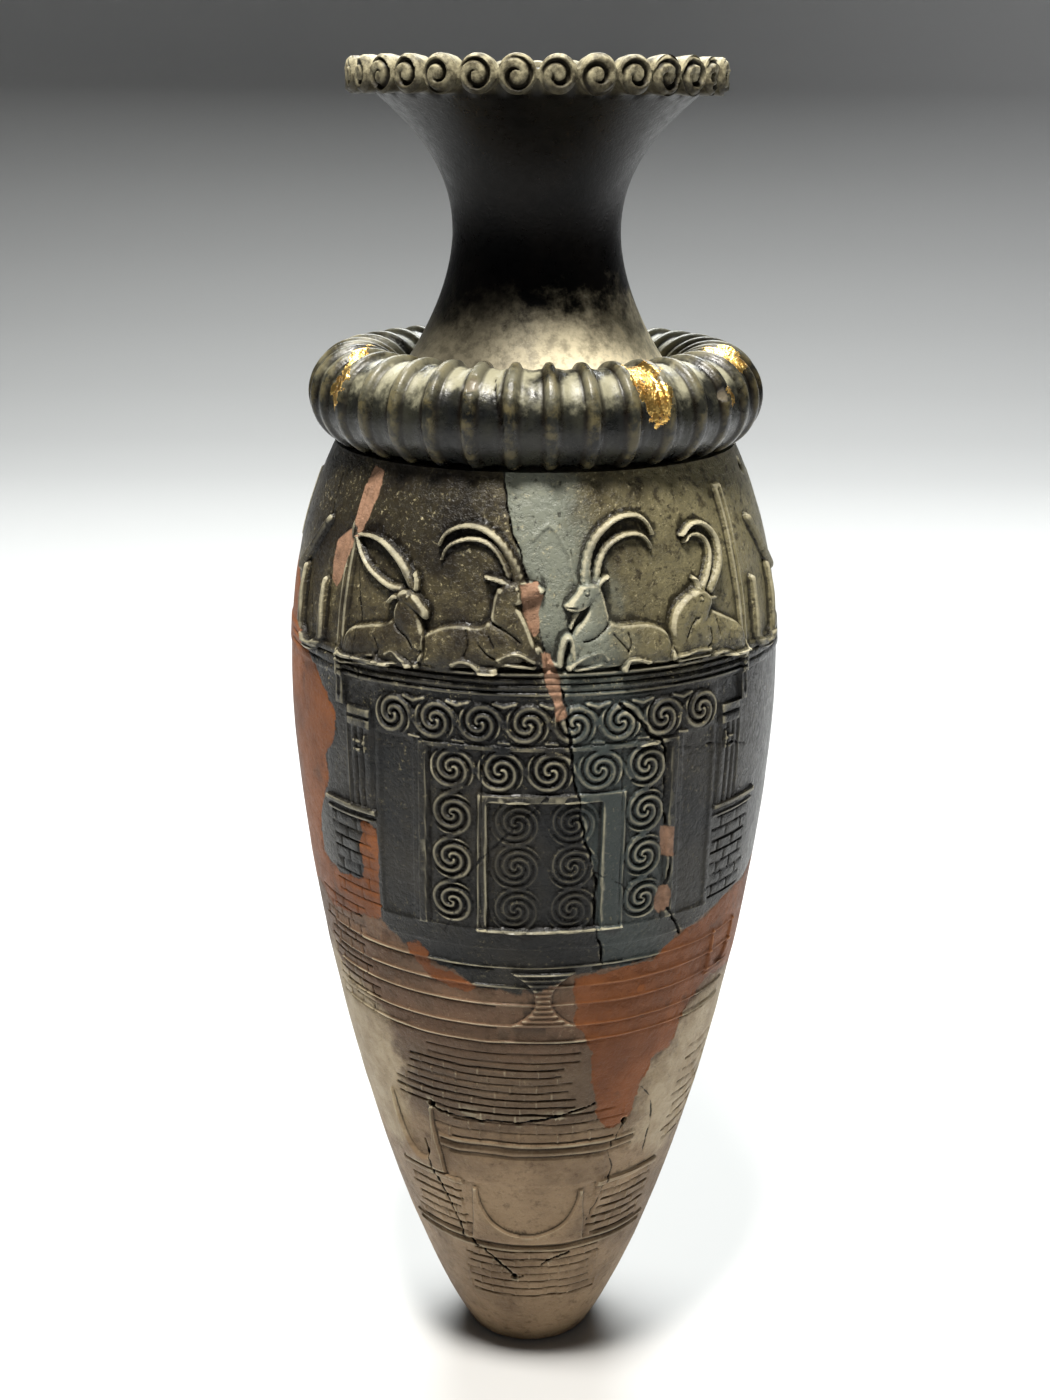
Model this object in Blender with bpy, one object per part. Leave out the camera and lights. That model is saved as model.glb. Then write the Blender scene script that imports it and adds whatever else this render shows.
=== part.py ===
"""A tall egg-shaped relief vessel of dark stone, with a ribbed collar ring and a flared neck.

Sizes are in metres. The vessel stands on its blunt tip at the origin, +Z is up and the carved
shrine faces -Y. Angles are degrees round the axis from the front, positive towards +X.
"""

import bpy
import numpy as np

MM = 0.001

# Driving dimensions
BODY_HEIGHT = 228.0 * MM
FOOT_RADIUS = 14.6 * MM
FOOT_EDGE = 1.3 * MM
BELLY_RADIUS = 56.7 * MM
BELLY_HEIGHT = 172.0 * MM
BODY_WALL = 8.0 * MM
FLOOR_THICKNESS = 15.0 * MM
SHOULDER_THICKNESS = 8.0 * MM
SPOUT_RADIUS = 2.0 * MM

RING_CENTRE_RADIUS = 40.0 * MM
RING_TUBE_RADIUS = 10.8 * MM
RING_FLAT = 0.4 * MM
RING_FLUTES = 36
RING_TURN = 4.0
FLUTE_DEPTH = 1.0 * MM
RIB_HEIGHT = 0.5 * MM
SHOULDER_REACH = 5.4 * MM

NECK_WALL = 4.6 * MM
NECK_SEAT = 8.0 * MM
NECK_LIP = 1.5 * MM
WAIST_RADIUS = 18.7 * MM
WAIST_RISE = 46.0 * MM
LIP_RADIUS = 35.0 * MM
RIM_RADIUS = 41.8 * MM
RIM_RISE = 78.9 * MM
RIM_COILS = 31
COIL_LENGTH = 5.6 * MM
COIL_CARVING = 0.7 * MM

REST_GAP = 0.3 * MM
FIT_GAP = 0.4 * MM

# What follows from them
FOOT_OF_NECK = RING_CENTRE_RADIUS - RING_TUBE_RADIUS - RIB_HEIGHT - FIT_GAP
MOUTH_RADIUS = FOOT_OF_NECK - NECK_SEAT
SEAT_RADIUS = RING_CENTRE_RADIUS + SHOULDER_REACH
RING_HEIGHT = BODY_HEIGHT + REST_GAP + RING_TUBE_RADIUS - RING_FLAT
COIL_PITCH = 2 * np.pi * RIM_RADIUS / RIM_COILS
COIL_RADIUS = 0.48 * COIL_PITCH

# How full the outline is, as powers of the height
LOWER_FULLNESS = 1.618
LOWER_ROUNDNESS = 1.218
SHOULDER_FALL = 2.414
NECK_SPREAD = 1.8
LIP_SPREAD = 2.2

# The carving is set out in shares of the wall: one unit is a 228th of its height
UNIT = BODY_HEIGHT / 228

SHRINE_ANGLE = 3.8
GROUND_LEFT = -47.5
GROUND_RIGHT = 54.0

GOAT_LEDGE = 188.3 * UNIT
CORNICE_BOTTOM = 182.4 * UNIT
CORNICE_GROOVES = (187.0 * UNIT, 185.5 * UNIT, 184.0 * UNIT)
FRIEZE_BOTTOM = 172.2 * UNIT
FRIEZE_CENTRE = 177.0 * UNIT
DOOR_BAND_BOTTOM = 161.4 * UNIT
SILL = 128.8 * UNIT
SHRINE_BOTTOM = 124.4 * UNIT
STEP_LINES = (119.4 * UNIT, 114.3 * UNIT, 109.6 * UNIT, 103.8 * UNIT, 99.5 * UNIT)

SHRINE_HALF = 40.2 * UNIT
PANEL_HALF = 28.8 * UNIT
PANEL_BORDER = 2.0 * UNIT
JAMB_LEFT = -15.5 * UNIT
LEAF_LEFT = -13.2 * UNIT
LEAF_RIGHT = 11.2 * UNIT
JAMB_RIGHT = 16.4 * UNIT

SPIRAL_STROKE = 0.45 * UNIT
SPIRAL_ROWS = 3.0
SPIRAL_HEIGHT = 0.7 * UNIT
FRIEZE_SPIRALS = 8
FRIEZE_PITCH = 9.9 * UNIT
FRIEZE_RADIUS = 4.2 * UNIT
BAND_RADIUS = 4.5 * UNIT
BAND_PITCH = 10.5 * UNIT
LEAF_RADIUS = 5.0 * UNIT
LEAF_PITCH = 10.4 * UNIT
LEAF_OFFSET = 6.1 * UNIT

EDGE_WIDTH = 0.7 * UNIT
GROOVE_DEPTH = 0.5 * UNIT
LEDGE_HEIGHT = 0.5 * UNIT
JOINT_WIDTH = 0.55 * UNIT
STEP_WIDTH = 1.0 * UNIT
STEP_LEFT = -62.0
STEP_RIGHT = 66.0

POLE_HALF = 0.9 * UNIT
POLE_HEIGHT = 0.8 * UNIT
POLE_BOTTOM = 176.0 * UNIT
POLE_TOP = 221.0 * UNIT
BACK_POLES = (-137.0, -92.0, 97.0, 142.0)
BACK_POLE_BOTTOM = 100.0 * UNIT
BACK_BAYS = (-115.0, 120.0, 180.0)

MOUND_ANGLE = 3.2
MOUND_TOP = 11.6 * UNIT
MOUND_TIP_HALF = 1.6 * UNIT
MOUND_SLOPE = 0.45
MOUND_HEIGHT = 0.6 * UNIT

ALTAR_ANGLE = 3.0
ALTAR_CENTRE = 111.0 * UNIT
ALTAR_HALF_HEIGHT = 7.0 * UNIT
ALTAR_WAIST = 1.7 * UNIT
ALTAR_FLARE = 5.4 * UNIT
ALTAR_CURVE = 2.2
ALTAR_HEIGHT = 1.0 * UNIT

# Share of a horns block's half width and height that its rounded hollow takes
HOLLOW_WIDTH = 0.93
HOLLOW_DEPTH = 0.86

WING_ANGLE = 41.5
LOW_ANGLE = -1.0
STAIR_ANGLE = 36.0
STAIR_BOTTOM = 46.0 * UNIT
STAIR_RISE = 4.2 * UNIT
STAIR_REACH = 9.0 * UNIT
STAIR_NARROWING = 1.3 * UNIT
STAIR_THICKNESS = 1.4 * UNIT

# Grid of the carved wall before it is thinned: fine over the shrine, coarse behind it
FINE_LEFT = -76.0
FINE_RIGHT = 80.0
FINE_STEP = 0.45
COARSE_STEP = 2.0
WALL_ROWS = 440
FADE_FROM_TOP = 4.0 * UNIT
FADE_FROM_FOOT = 8.0 * UNIT
FADE_LENGTH = 6.0 * UNIT

FLAT_REACH = 0.25 * MM
BODY_TRIANGLES = 6120
NECK_TRIANGLES = 1930


def clear_scene():
    for item in list(bpy.data.objects):
        bpy.data.objects.remove(item, do_unlink=True)


def stone(name, colour, roughness):
    """A plain stone finish for one piece."""
    material = bpy.data.materials.new(name)
    material.use_nodes = True
    shader = material.node_tree.nodes["Principled BSDF"]
    shader.inputs["Base Color"].default_value = (*colour, 1.0)
    shader.inputs["Roughness"].default_value = roughness
    shader.inputs["Metallic"].default_value = 0.0
    return material


def soft_step(share):
    """Rises from 0 to 1 as the share goes from 0 to 1, level at both ends."""
    share = np.clip(share, 0.0, 1.0)
    return share * share * (3.0 - 2.0 * share)


def inside(distance, edge):
    """1 well inside a shape and 0 outside, from its signed distance, over an edge of this width."""
    return soft_step(0.5 - distance / edge)


def wall_radius(height):
    """Outer radius of the bare body: one power curve up to the belly and another to the seat."""
    low = np.clip(height / BELLY_HEIGHT, 0.0, 1.0)
    high = np.clip((height - BELLY_HEIGHT) / (BODY_HEIGHT - BELLY_HEIGHT), 0.0, 1.0)
    swell = (1.0 - (1.0 - low) ** LOWER_FULLNESS) ** (1.0 / LOWER_ROUNDNESS)
    lower = FOOT_RADIUS + (BELLY_RADIUS - FOOT_RADIUS) * swell
    upper = BELLY_RADIUS - (BELLY_RADIUS - SEAT_RADIUS) * high**SHOULDER_FALL
    return np.where(height < BELLY_HEIGHT, lower, upper)


class Carving:
    """Height of the relief over the bare wall, on a grid of angles and heights."""

    def __init__(self, angles, heights):
        self.angles = angles
        self.heights = heights
        self.relief = np.zeros((len(heights), len(angles)))
        self.ground = self.relief

    def window(self, angle, height, half_width, half_height):
        """The part of the grid round a point, with distances across and up from that point."""
        turn = (self.angles - angle + 180.0) % 360.0 - 180.0
        rows = np.flatnonzero(np.abs(self.heights - height) <= half_height)
        reach = np.degrees(half_width / wall_radius(height - 0.5 * half_height))
        columns = np.flatnonzero(np.abs(turn) <= min(reach * 1.15, 179.0))
        across = np.radians(turn[columns])[None, :] * wall_radius(self.heights[rows])[:, None]
        up = (self.heights[rows] - height)[:, None] + 0.0 * across
        return np.ix_(rows, columns), across, up

    def add(self, area, amount):
        self.relief[area] += amount

    def lift(self, area, amount):
        """Raises the relief to this amount where it is lower."""
        self.relief[area] = np.maximum(self.relief[area], amount)

    def settle(self):
        """Keeps the relief as it is now as the ground that raised strokes stand on."""
        self.ground = self.relief.copy()

    def block(self, angle, left, right, bottom, top, height, edge=EDGE_WIDTH):
        """A flat raised or sunk rectangle; left and right are measured along the wall."""
        centre = 0.5 * (bottom + top)
        half = max(abs(left), abs(right)) + 2 * edge
        area, across, up = self.window(angle, centre, half, 0.5 * (top - bottom) + 2 * edge)
        side = np.abs(across - 0.5 * (left + right)) - 0.5 * (right - left)
        level = np.abs(up) - 0.5 * (top - bottom)
        self.add(area, height * inside(np.maximum(side, level), edge))

    def line(self, bottom_angle, top_angle, height, width, amount):
        """A level ridge or groove between two angles."""
        middle = 0.5 * (bottom_angle + top_angle)
        half = np.radians(0.5 * (top_angle - bottom_angle)) * wall_radius(height)
        self.block(middle, -half, half, height - 0.5 * width, height + 0.5 * width, amount)

    def limb(self, angle, height, facing, points, amount):
        """A rounded tapering stroke through (across, up, radius) points, like a limb or a horn."""
        reach = 36.0 * UNIT
        area, across, up = self.window(angle, height + 0.5 * reach, reach, 0.6 * reach)
        across = across * facing
        up = up + 0.5 * reach
        best = np.zeros_like(across)
        for start, end in zip(points[:-1], points[1:]):
            run = np.array(end[:2]) - np.array(start[:2])
            length = max(float(run @ run), (0.01 * UNIT) ** 2)
            share = ((across - start[0]) * run[0] + (up - start[1]) * run[1]) / length
            share = np.clip(share, 0.0, 1.0)
            gap = np.hypot(across - start[0] - share * run[0], up - start[1] - share * run[1])
            radius = start[2] + (end[2] - start[2]) * share
            dome = np.sqrt(np.clip(1.0 - (gap / radius) ** 2, 0.0, 1.0))
            best = np.maximum(best, dome)
        self.lift(area, amount * best)

    def spiral(self, angle, height, radius, turn, rows, amount, stroke=SPIRAL_STROKE):
        """Two raised arms winding in to a centre; they leave the circle at `turn` and opposite."""
        size = radius + 2 * stroke
        area, across, up = self.window(angle, height, size, size)
        reach = np.hypot(across, up)
        bearing = np.degrees(np.arctan2(up, across)) - turn
        spacing = radius / rows
        phase = (reach - radius) / spacing + bearing / 180.0
        gap = np.abs((phase + 0.5) % 1.0 - 0.5) * spacing
        gap = np.where(reach > radius, np.hypot(gap, reach - radius), gap)
        self.lift(area, self.ground[area] + amount * inside(gap - stroke, stroke))

    def stroke(self, angle, height, start, end, amount, half=SPIRAL_STROKE):
        """A raised straight stroke between two points near (angle, height)."""
        size = max(np.hypot(*start), np.hypot(*end)) + 2 * half
        area, across, up = self.window(angle, height, size, size)
        run = np.array(end) - np.array(start)
        share = ((across - start[0]) * run[0] + (up - start[1]) * run[1]) / float(run @ run)
        share = np.clip(share, 0.0, 1.0)
        gap = np.hypot(across - start[0] - share * run[0], up - start[1] - share * run[1])
        self.lift(area, self.ground[area] + amount * inside(gap - half, half))


def carve_running_spirals(carving, angle, places, radius, rows, amount):
    """Spirals in a chain; a tangent stroke runs from the top of each to the foot of the next."""
    carving.settle()
    for here, after in zip(places, places[1:] + places[-1:]):
        step = np.array(after) - np.array(here)
        distance = float(np.hypot(*step))
        if distance == 0.0:
            step = np.array(here) - np.array(places[-2])
            distance = float(np.hypot(*step))
        heading = np.degrees(np.arctan2(step[1], step[0]))
        lean = np.degrees(np.arccos(min(1.0, 2 * radius / distance)))
        turn = heading + lean
        local = wall_radius(here[1])
        centre = angle + np.degrees(here[0] / local)
        carving.spiral(centre, here[1], radius, turn, rows, amount)
        if after != here:
            leave = radius * np.array([np.cos(np.radians(turn)), np.sin(np.radians(turn))])
            carving.stroke(centre, here[1], tuple(leave), tuple(step - leave), amount)


def carve_masonry(carving, angle, left, right, bottom, top, course, length, amount):
    """Courses of blocks, each joint a groove, with the upright joints staggered."""
    courses = max(1, round((top - bottom) / course))
    joint = JOINT_WIDTH
    for number in range(courses + 1):
        level = bottom + (top - bottom) * number / courses
        carving.block(angle, left, right, level - 0.5 * joint, level + 0.5 * joint, -amount)
    for number in range(courses):
        low = bottom + (top - bottom) * number / courses
        high = bottom + (top - bottom) * (number + 1) / courses
        start = left + length * (0.5 + 0.5 * (number % 2))
        for place in np.arange(start, right - 0.3 * length, length):
            carving.block(angle, place - 0.5 * joint, place + 0.5 * joint, low, high, -amount)


# The shrine's front, in units: (left, right, bottom, top, amount), each added to those before it
SHRINE_BLOCKS = (
    (-SHRINE_HALF, SHRINE_HALF, SHRINE_BOTTOM, CORNICE_BOTTOM, 0.4),
    (1.5 * UNIT - SHRINE_HALF, -1.5 * UNIT - PANEL_HALF, SILL, FRIEZE_BOTTOM, -0.3),
    (PANEL_HALF + 1.5 * UNIT, SHRINE_HALF - 1.5 * UNIT, SILL, FRIEZE_BOTTOM, -0.3),
    (-PANEL_HALF, PANEL_HALF, SILL, FRIEZE_BOTTOM, 0.6),
    (PANEL_BORDER - PANEL_HALF, PANEL_HALF - PANEL_BORDER, SILL, FRIEZE_BOTTOM - 1.2 * UNIT, -0.7),
    (JAMB_LEFT, JAMB_RIGHT, SILL, DOOR_BAND_BOTTOM, 0.9),
    (LEAF_LEFT, LEAF_RIGHT, SILL, DOOR_BAND_BOTTOM - PANEL_BORDER, -1.3),
    (JAMB_LEFT, JAMB_RIGHT, SILL - 0.6 * UNIT, SILL + 0.4 * UNIT, 1.0),
    (-SHRINE_HALF, SHRINE_HALF, SHRINE_BOTTOM - 0.4 * UNIT, SHRINE_BOTTOM, 0.4),
)
# A wing beside the front, drawn outwards from its inner edge, in units
WING_BLOCKS = (
    (0.0, 17.0, 152.0, 153.4, 1.0),
    (0.0, 17.0, 150.0, 151.0, 0.5),
    (0.5, 6.5, 153.4, 172.0, 0.5),
    (0.5, 6.5, 172.0, 176.5, 1.0),
    (0.5, 6.5, 173.8, 174.6, -0.6),
    (0.0, 17.0, 129.5, 130.5, -0.5),
    (0.0, 17.0, 136.5, 137.5, -0.5),
    (0.0, 17.0, 143.5, 144.5, -0.5),
)
# A bay of the plainer back: a ledge over a sunk wall panel, in units
BAY_BLOCKS = (
    (-18.0, 18.0, 150.0, 153.0, 0.9),
    (-12.0, 12.0, 157.0, 176.0, -0.7),
)
# Horns: (angle, base, half width, height, amount), the sizes in units
HORNS = (
    (-61.0, 188.3, 5.5, 9.0, 1.2),
    (67.0, 188.3, 5.5, 9.0, 1.2),
    (-115.0, 188.3, 7.0, 10.5, 1.2),
    (120.0, 188.3, 7.0, 10.5, 1.2),
    (180.0, 188.3, 7.0, 10.5, 1.2),
    (-61.0, 62.0, 7.0, 10.0, 0.9),
    (59.0, 62.0, 7.0, 10.0, 0.9),
    (LOW_ANGLE, 38.8, 13.3, 16.3, 1.0),
)
# Block walls: (angle, half width, bottom, top, course, block length), the sizes in units
BLOCK_WALLS = (
    (-10.0, 32.0, 70.0, 91.0, 3.0, 8.5),
    (0.0, 22.0, 19.0, 36.0, 3.4, 6.5),
)
# Level ridges of the lower part: (left angle, right angle, height, width, amount), sizes in units
LOW_RIDGES = (
    (-55.0, 40.0, 69.0, 1.2, 0.7),
    (-60.0, 60.0, 38.0, 1.6, 0.6),
)

# Goats are drawn facing +across from the rump at 0, in units: (across, up, radius) strokes
RESTING_GOAT = {
    "mass": (
        ((4.2, 4.6, 4.2), (14.5, 5.4, 4.2), (19.3, 5.0, 3.9)),
        ((17.0, 8.0, 3.9), (18.3, 15.5, 2.5)),
    ),
    "limbs": (
        ((18.4, 17.0, 2.1), (23.4, 15.7, 1.4), (24.4, 15.4, 1.2)),
        ((4.9, 4.2, 3.7), (6.6, 3.9, 3.5)),
        ((15.0, 6.4, 2.6), (18.8, 4.0, 1.9)),
    ),
    "thin": (
        ((17.4, 18.0, 1.0), (13.9, 19.1, 0.5)),
        ((22.2, 13.8, 0.8), (20.6, 10.8, 0.5)),
        ((6.8, 1.1, 1.0), (12.6, 1.0, 0.8)),
        ((16.6, 2.4, 1.2), (23.6, 1.4, 0.9)),
        ((23.2, 0.8, 0.9), (23.4, 5.6, 1.1)),
    ),
    "horns": (
        ((10.3, 20.4), (8.7, 9.0), (-3.0, 155.0), (1.3, 0.5)),
        ((10.4, 19.3), (6.9, 6.8), (8.0, 155.0), (0.8, 0.4)),
    ),
}
YOUNG_GOAT = {
    "mass": (
        ((4.4, 3.8, 3.4), (12.6, 4.6, 4.0), (17.3, 4.4, 3.7)),
        ((15.2, 7.0, 3.4), (16.5, 12.6, 2.4)),
    ),
    "limbs": (
        ((17.0, 14.1, 2.0), (21.0, 11.1, 1.2)),
        ((4.6, 3.6, 3.1), (5.8, 3.4, 2.9)),
    ),
    "thin": (
        ((15.4, 14.6, 0.8), (12.4, 13.4, 0.4)),
        ((5.2, 1.0, 0.9), (10.6, 0.9, 0.7)),
        ((12.2, 0.9, 0.8), (14.6, 3.4, 0.9), (19.0, 0.9, 0.8)),
    ),
    "horns": (
        ((1.0, 12.5), (15.6, 12.4), (12.0, 91.0), (0.9, 0.5)),
        ((15.0, 27.0), (14.6, 12.0), (266.0, 190.0), (0.9, 0.5)),
    ),
}
TURNING_GOAT = {
    "mass": (
        ((3.9, 4.2, 3.7), (11.8, 5.4, 4.4), (17.0, 5.4, 3.6)),
        ((17.8, 7.5, 3.1), (16.4, 13.0, 2.5)),
    ),
    "limbs": (
        ((14.4, 14.4, 2.0), (12.6, 9.4, 1.3)),
        ((3.5, 4.0, 3.1), (4.4, 3.8, 2.9)),
    ),
    "thin": (
        ((15.6, 15.6, 0.8), (15.9, 17.9, 0.4)),
        ((5.2, 1.0, 1.0), (9.4, 1.1, 0.8)),
        ((11.0, 2.8, 0.9), (19.6, 1.0, 0.8)),
    ),
    "horns": (
        ((10.7, 22.6), (5.5, 6.4), (285.0, 20.0), (1.0, 0.5)),
        ((11.3, 22.2), (3.4, 5.0), (275.0, 30.0), (0.7, 0.4)),
    ),
}
GOATS = (
    (YOUNG_GOAT, -46.0, 1),
    (RESTING_GOAT, -24.0, 1),
    (RESTING_GOAT, 30.0, -1),
    (TURNING_GOAT, 52.6, -1),
)
GOAT_HEIGHT = 1.7 * UNIT
LIMB_HEIGHT = 2.3 * UNIT
THIN_HEIGHT = 1.8 * UNIT
HORN_HEIGHT = 1.6 * UNIT


def carve_goat(carving, goat, rump, facing):
    """One lying goat on the cornice: rounded masses, then limbs, thin parts and curved horns."""
    foot = GOAT_LEDGE + 0.3 * UNIT
    for kind, amount in (("mass", GOAT_HEIGHT), ("limbs", LIMB_HEIGHT), ("thin", THIN_HEIGHT)):
        for strokes in goat[kind]:
            points = [tuple(value * UNIT for value in point) for point in strokes]
            carving.limb(rump, foot, facing, points, amount)
    for centre, size, sweep, radius in goat["horns"]:
        share = np.linspace(0.0, 1.0, 13)
        bearing = np.radians(sweep[0] + (sweep[1] - sweep[0]) * share)
        across = (centre[0] + size[0] * np.cos(bearing)) * UNIT
        up = (centre[1] + size[1] * np.sin(bearing)) * UNIT
        thick = (radius[0] + (radius[1] - radius[0]) * share) * UNIT
        carving.limb(rump, foot, facing, list(zip(across, up, thick)), HORN_HEIGHT)


def carve_mound(carving):
    """The low rock between the two middle goats."""
    size = 0.75 * MOUND_TOP
    area, across, up = carving.window(MOUND_ANGLE, GOAT_LEDGE + size, size, 2 * size)
    up = up + size
    half = MOUND_TIP_HALF + MOUND_SLOPE * np.clip(MOUND_TOP - up, 0.0, None)
    distance = np.maximum(np.abs(across) - half, np.maximum(up - MOUND_TOP, -up))
    carving.lift(area, MOUND_HEIGHT * inside(distance, 2 * EDGE_WIDTH))


def carve_cornice(carving):
    """The roof ledge that the goats lie on, with its grooves, and a plainer one round the back."""
    middle = 0.5 * (GOAT_LEDGE + CORNICE_BOTTOM)
    depth = GOAT_LEDGE - CORNICE_BOTTOM
    carving.line(-180.0, 180.0, middle, depth, LEDGE_HEIGHT)
    carving.line(GROUND_LEFT, GROUND_RIGHT, middle, depth, LEDGE_HEIGHT)
    for level in CORNICE_GROOVES:
        carving.line(GROUND_LEFT, GROUND_RIGHT, level, JOINT_WIDTH, -GROOVE_DEPTH)


def carve_shrine(carving):
    """The front of the shrine: frieze, side pilasters, spiral band and the panelled door."""
    turn = SHRINE_ANGLE
    for left, right, bottom, top, amount in SHRINE_BLOCKS:
        carving.block(turn, left, right, bottom, top, amount * UNIT)
    middle = 0.5 * (FRIEZE_SPIRALS - 1)
    frieze = [((n - middle) * FRIEZE_PITCH, FRIEZE_CENTRE) for n in range(FRIEZE_SPIRALS)]
    carve_running_spirals(carving, turn, frieze, FRIEZE_RADIUS, SPIRAL_ROWS, SPIRAL_HEIGHT)
    side = 2 * BAND_PITCH
    band = 0.5 * (FRIEZE_BOTTOM + DOOR_BAND_BOTTOM) - 0.5 * SPIRAL_STROKE
    rising = [(-side, band - step * BAND_PITCH) for step in (3, 2, 1)]
    over = [(step * BAND_PITCH, band) for step in (-2, -1, 0, 1, 2)]
    falling = [(side, band - step * BAND_PITCH) for step in (1, 2, 3)]
    places = rising + over + falling
    carve_running_spirals(carving, turn, places, BAND_RADIUS, SPIRAL_ROWS, SPIRAL_HEIGHT)
    leaf_centre = 0.5 * (LEAF_LEFT + LEAF_RIGHT)
    leaf_top = 0.5 * (SILL + DOOR_BAND_BOTTOM) + LEAF_PITCH - 2 * SPIRAL_STROKE
    for offset in (-LEAF_OFFSET, LEAF_OFFSET):
        leaf = [(leaf_centre + offset, leaf_top - step * LEAF_PITCH) for step in range(3)]
        carve_running_spirals(carving, turn, leaf, LEAF_RADIUS, SPIRAL_ROWS, SPIRAL_HEIGHT)


def carve_wing(carving, angle, side):
    """A lower wing of the shrine beside its front: stepped ledges, a pier and a block wall."""
    for near, far, bottom, top, amount in WING_BLOCKS:
        left, right = sorted((side * near * UNIT, side * far * UNIT))
        carving.block(angle, left, right, bottom * UNIT, top * UNIT, amount * UNIT)


def carve_horns(carving, angle, base, half, height, amount):
    """Stone bull's horns on a wall: a flat block with a rounded hollow between two points."""
    area, across, up = carving.window(angle, base + 0.5 * height, half + 4 * EDGE_WIDTH, height)
    up = up + 0.5 * height
    reach = np.hypot(across / (HOLLOW_WIDTH * half), (up - height) / (HOLLOW_DEPTH * height))
    hollow = (1.0 - reach) * min(half, height)
    outer = np.maximum(np.abs(across) - half, np.abs(up - 0.5 * height) - 0.5 * height)
    carving.add(area, amount * inside(np.maximum(outer, hollow), EDGE_WIDTH))


def carve_altar(carving):
    """A small waisted altar on the steps below the door."""
    size = ALTAR_HALF_HEIGHT + 2 * EDGE_WIDTH
    area, across, up = carving.window(ALTAR_ANGLE, ALTAR_CENTRE, size, size)
    flare = (np.abs(up) / ALTAR_HALF_HEIGHT) ** ALTAR_CURVE
    half = ALTAR_WAIST + ALTAR_FLARE * flare
    distance = np.maximum(np.abs(across) - half, np.abs(up) - ALTAR_HALF_HEIGHT)
    carving.lift(area, ALTAR_HEIGHT * inside(distance, EDGE_WIDTH))


def carve_back(carving):
    """The unseen side, plainer: poles between bays, each a ledge over a sunk wall panel."""
    for angle in BACK_POLES:
        carving.block(angle, -POLE_HALF, POLE_HALF, BACK_POLE_BOTTOM, POLE_TOP, POLE_HEIGHT)
    for angle in BACK_BAYS:
        for left, right, bottom, top, amount in BAY_BLOCKS:
            carving.block(angle, left * UNIT, right * UNIT, bottom * UNIT, top * UNIT, amount * UNIT)


def carve_lower_registers(carving):
    """Steps, altar, block walls, ridges and side stairs under the shrine."""
    for level in STEP_LINES:
        carving.line(STEP_LEFT, STEP_RIGHT, level, STEP_WIDTH, LEDGE_HEIGHT)
    carve_altar(carving)
    for angle, half, bottom, top, course, length in BLOCK_WALLS:
        sizes = [value * UNIT for value in (-half, half, bottom, top, course, length)]
        carve_masonry(carving, angle, *sizes, GROOVE_DEPTH)
    for left, right, level, width, amount in LOW_RIDGES:
        carving.line(left, right, level * UNIT, width * UNIT, amount * UNIT)
    for angle in (LOW_ANGLE - STAIR_ANGLE, LOW_ANGLE + STAIR_ANGLE):
        for step in range(4):
            level = STAIR_BOTTOM + STAIR_RISE * step
            reach = STAIR_REACH - STAIR_NARROWING * step
            carving.block(angle, -reach, reach, level, level + STAIR_THICKNESS, SPIRAL_HEIGHT)


def body_relief(angles, heights):
    """The whole carving of the body, as heights over its bare wall."""
    carving = Carving(angles, heights)
    carve_cornice(carving)
    carve_shrine(carving)
    carve_wing(carving, SHRINE_ANGLE - WING_ANGLE, -1)
    carve_wing(carving, SHRINE_ANGLE + WING_ANGLE, 1)
    carve_mound(carving)
    for angle in (GROUND_LEFT, GROUND_RIGHT):
        carving.block(angle, -POLE_HALF, POLE_HALF, POLE_BOTTOM, POLE_TOP, POLE_HEIGHT)
    for goat, rump, facing in GOATS:
        carve_goat(carving, goat, rump, facing)
    carve_back(carving)
    carve_lower_registers(carving)
    for angle, *sizes in HORNS:
        carve_horns(carving, angle, *[value * UNIT for value in sizes])
    return carving.relief


def thin_out(piece, triangles, flats):
    """Brings the fine surface down to so many triangles and keeps its level faces exactly level."""
    faces = sum(len(face.vertices) - 2 for face in piece.data.polygons)
    fewer = piece.modifiers.new("Fewer faces", "DECIMATE")
    fewer.decimate_type = "COLLAPSE"
    fewer.ratio = min(1.0, triangles / faces)
    evaluated = piece.evaluated_get(bpy.context.evaluated_depsgraph_get())
    mesh = bpy.data.meshes.new_from_object(evaluated)
    piece.modifiers.clear()
    piece.data = mesh
    points = np.zeros(3 * len(mesh.vertices))
    mesh.vertices.foreach_get("co", points)
    points = points.reshape(-1, 3)
    for level in flats:
        points[np.abs(points[:, 2] - level) < FLAT_REACH, 2] = level
    mesh.vertices.foreach_set("co", points.ravel())
    mesh.update()


def closed_ring(name, radii, heights, angles, material):
    """One closed body from rings of points: rows go once round its section, columns round the axis."""
    rows, columns = radii.shape
    turn = np.radians(angles)[None, :]
    points = np.stack([radii * np.sin(turn), -radii * np.cos(turn), heights], axis=-1)
    index = np.arange(rows * columns).reshape(rows, columns)
    up = np.roll(index, -1, axis=0)
    faces = np.stack([index, np.roll(index, -1, axis=1), np.roll(up, -1, axis=1), up], axis=-1)
    mesh = bpy.data.meshes.new(name)
    mesh.from_pydata(points.reshape(-1, 3).tolist(), [], faces.reshape(-1, 4).tolist())
    mesh.materials.append(material)
    mesh.shade_smooth()
    mesh.set_sharp_from_angle(angle=np.radians(40.0))
    piece = bpy.data.objects.new(name, mesh)
    bpy.context.collection.objects.link(piece)
    return piece


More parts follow.
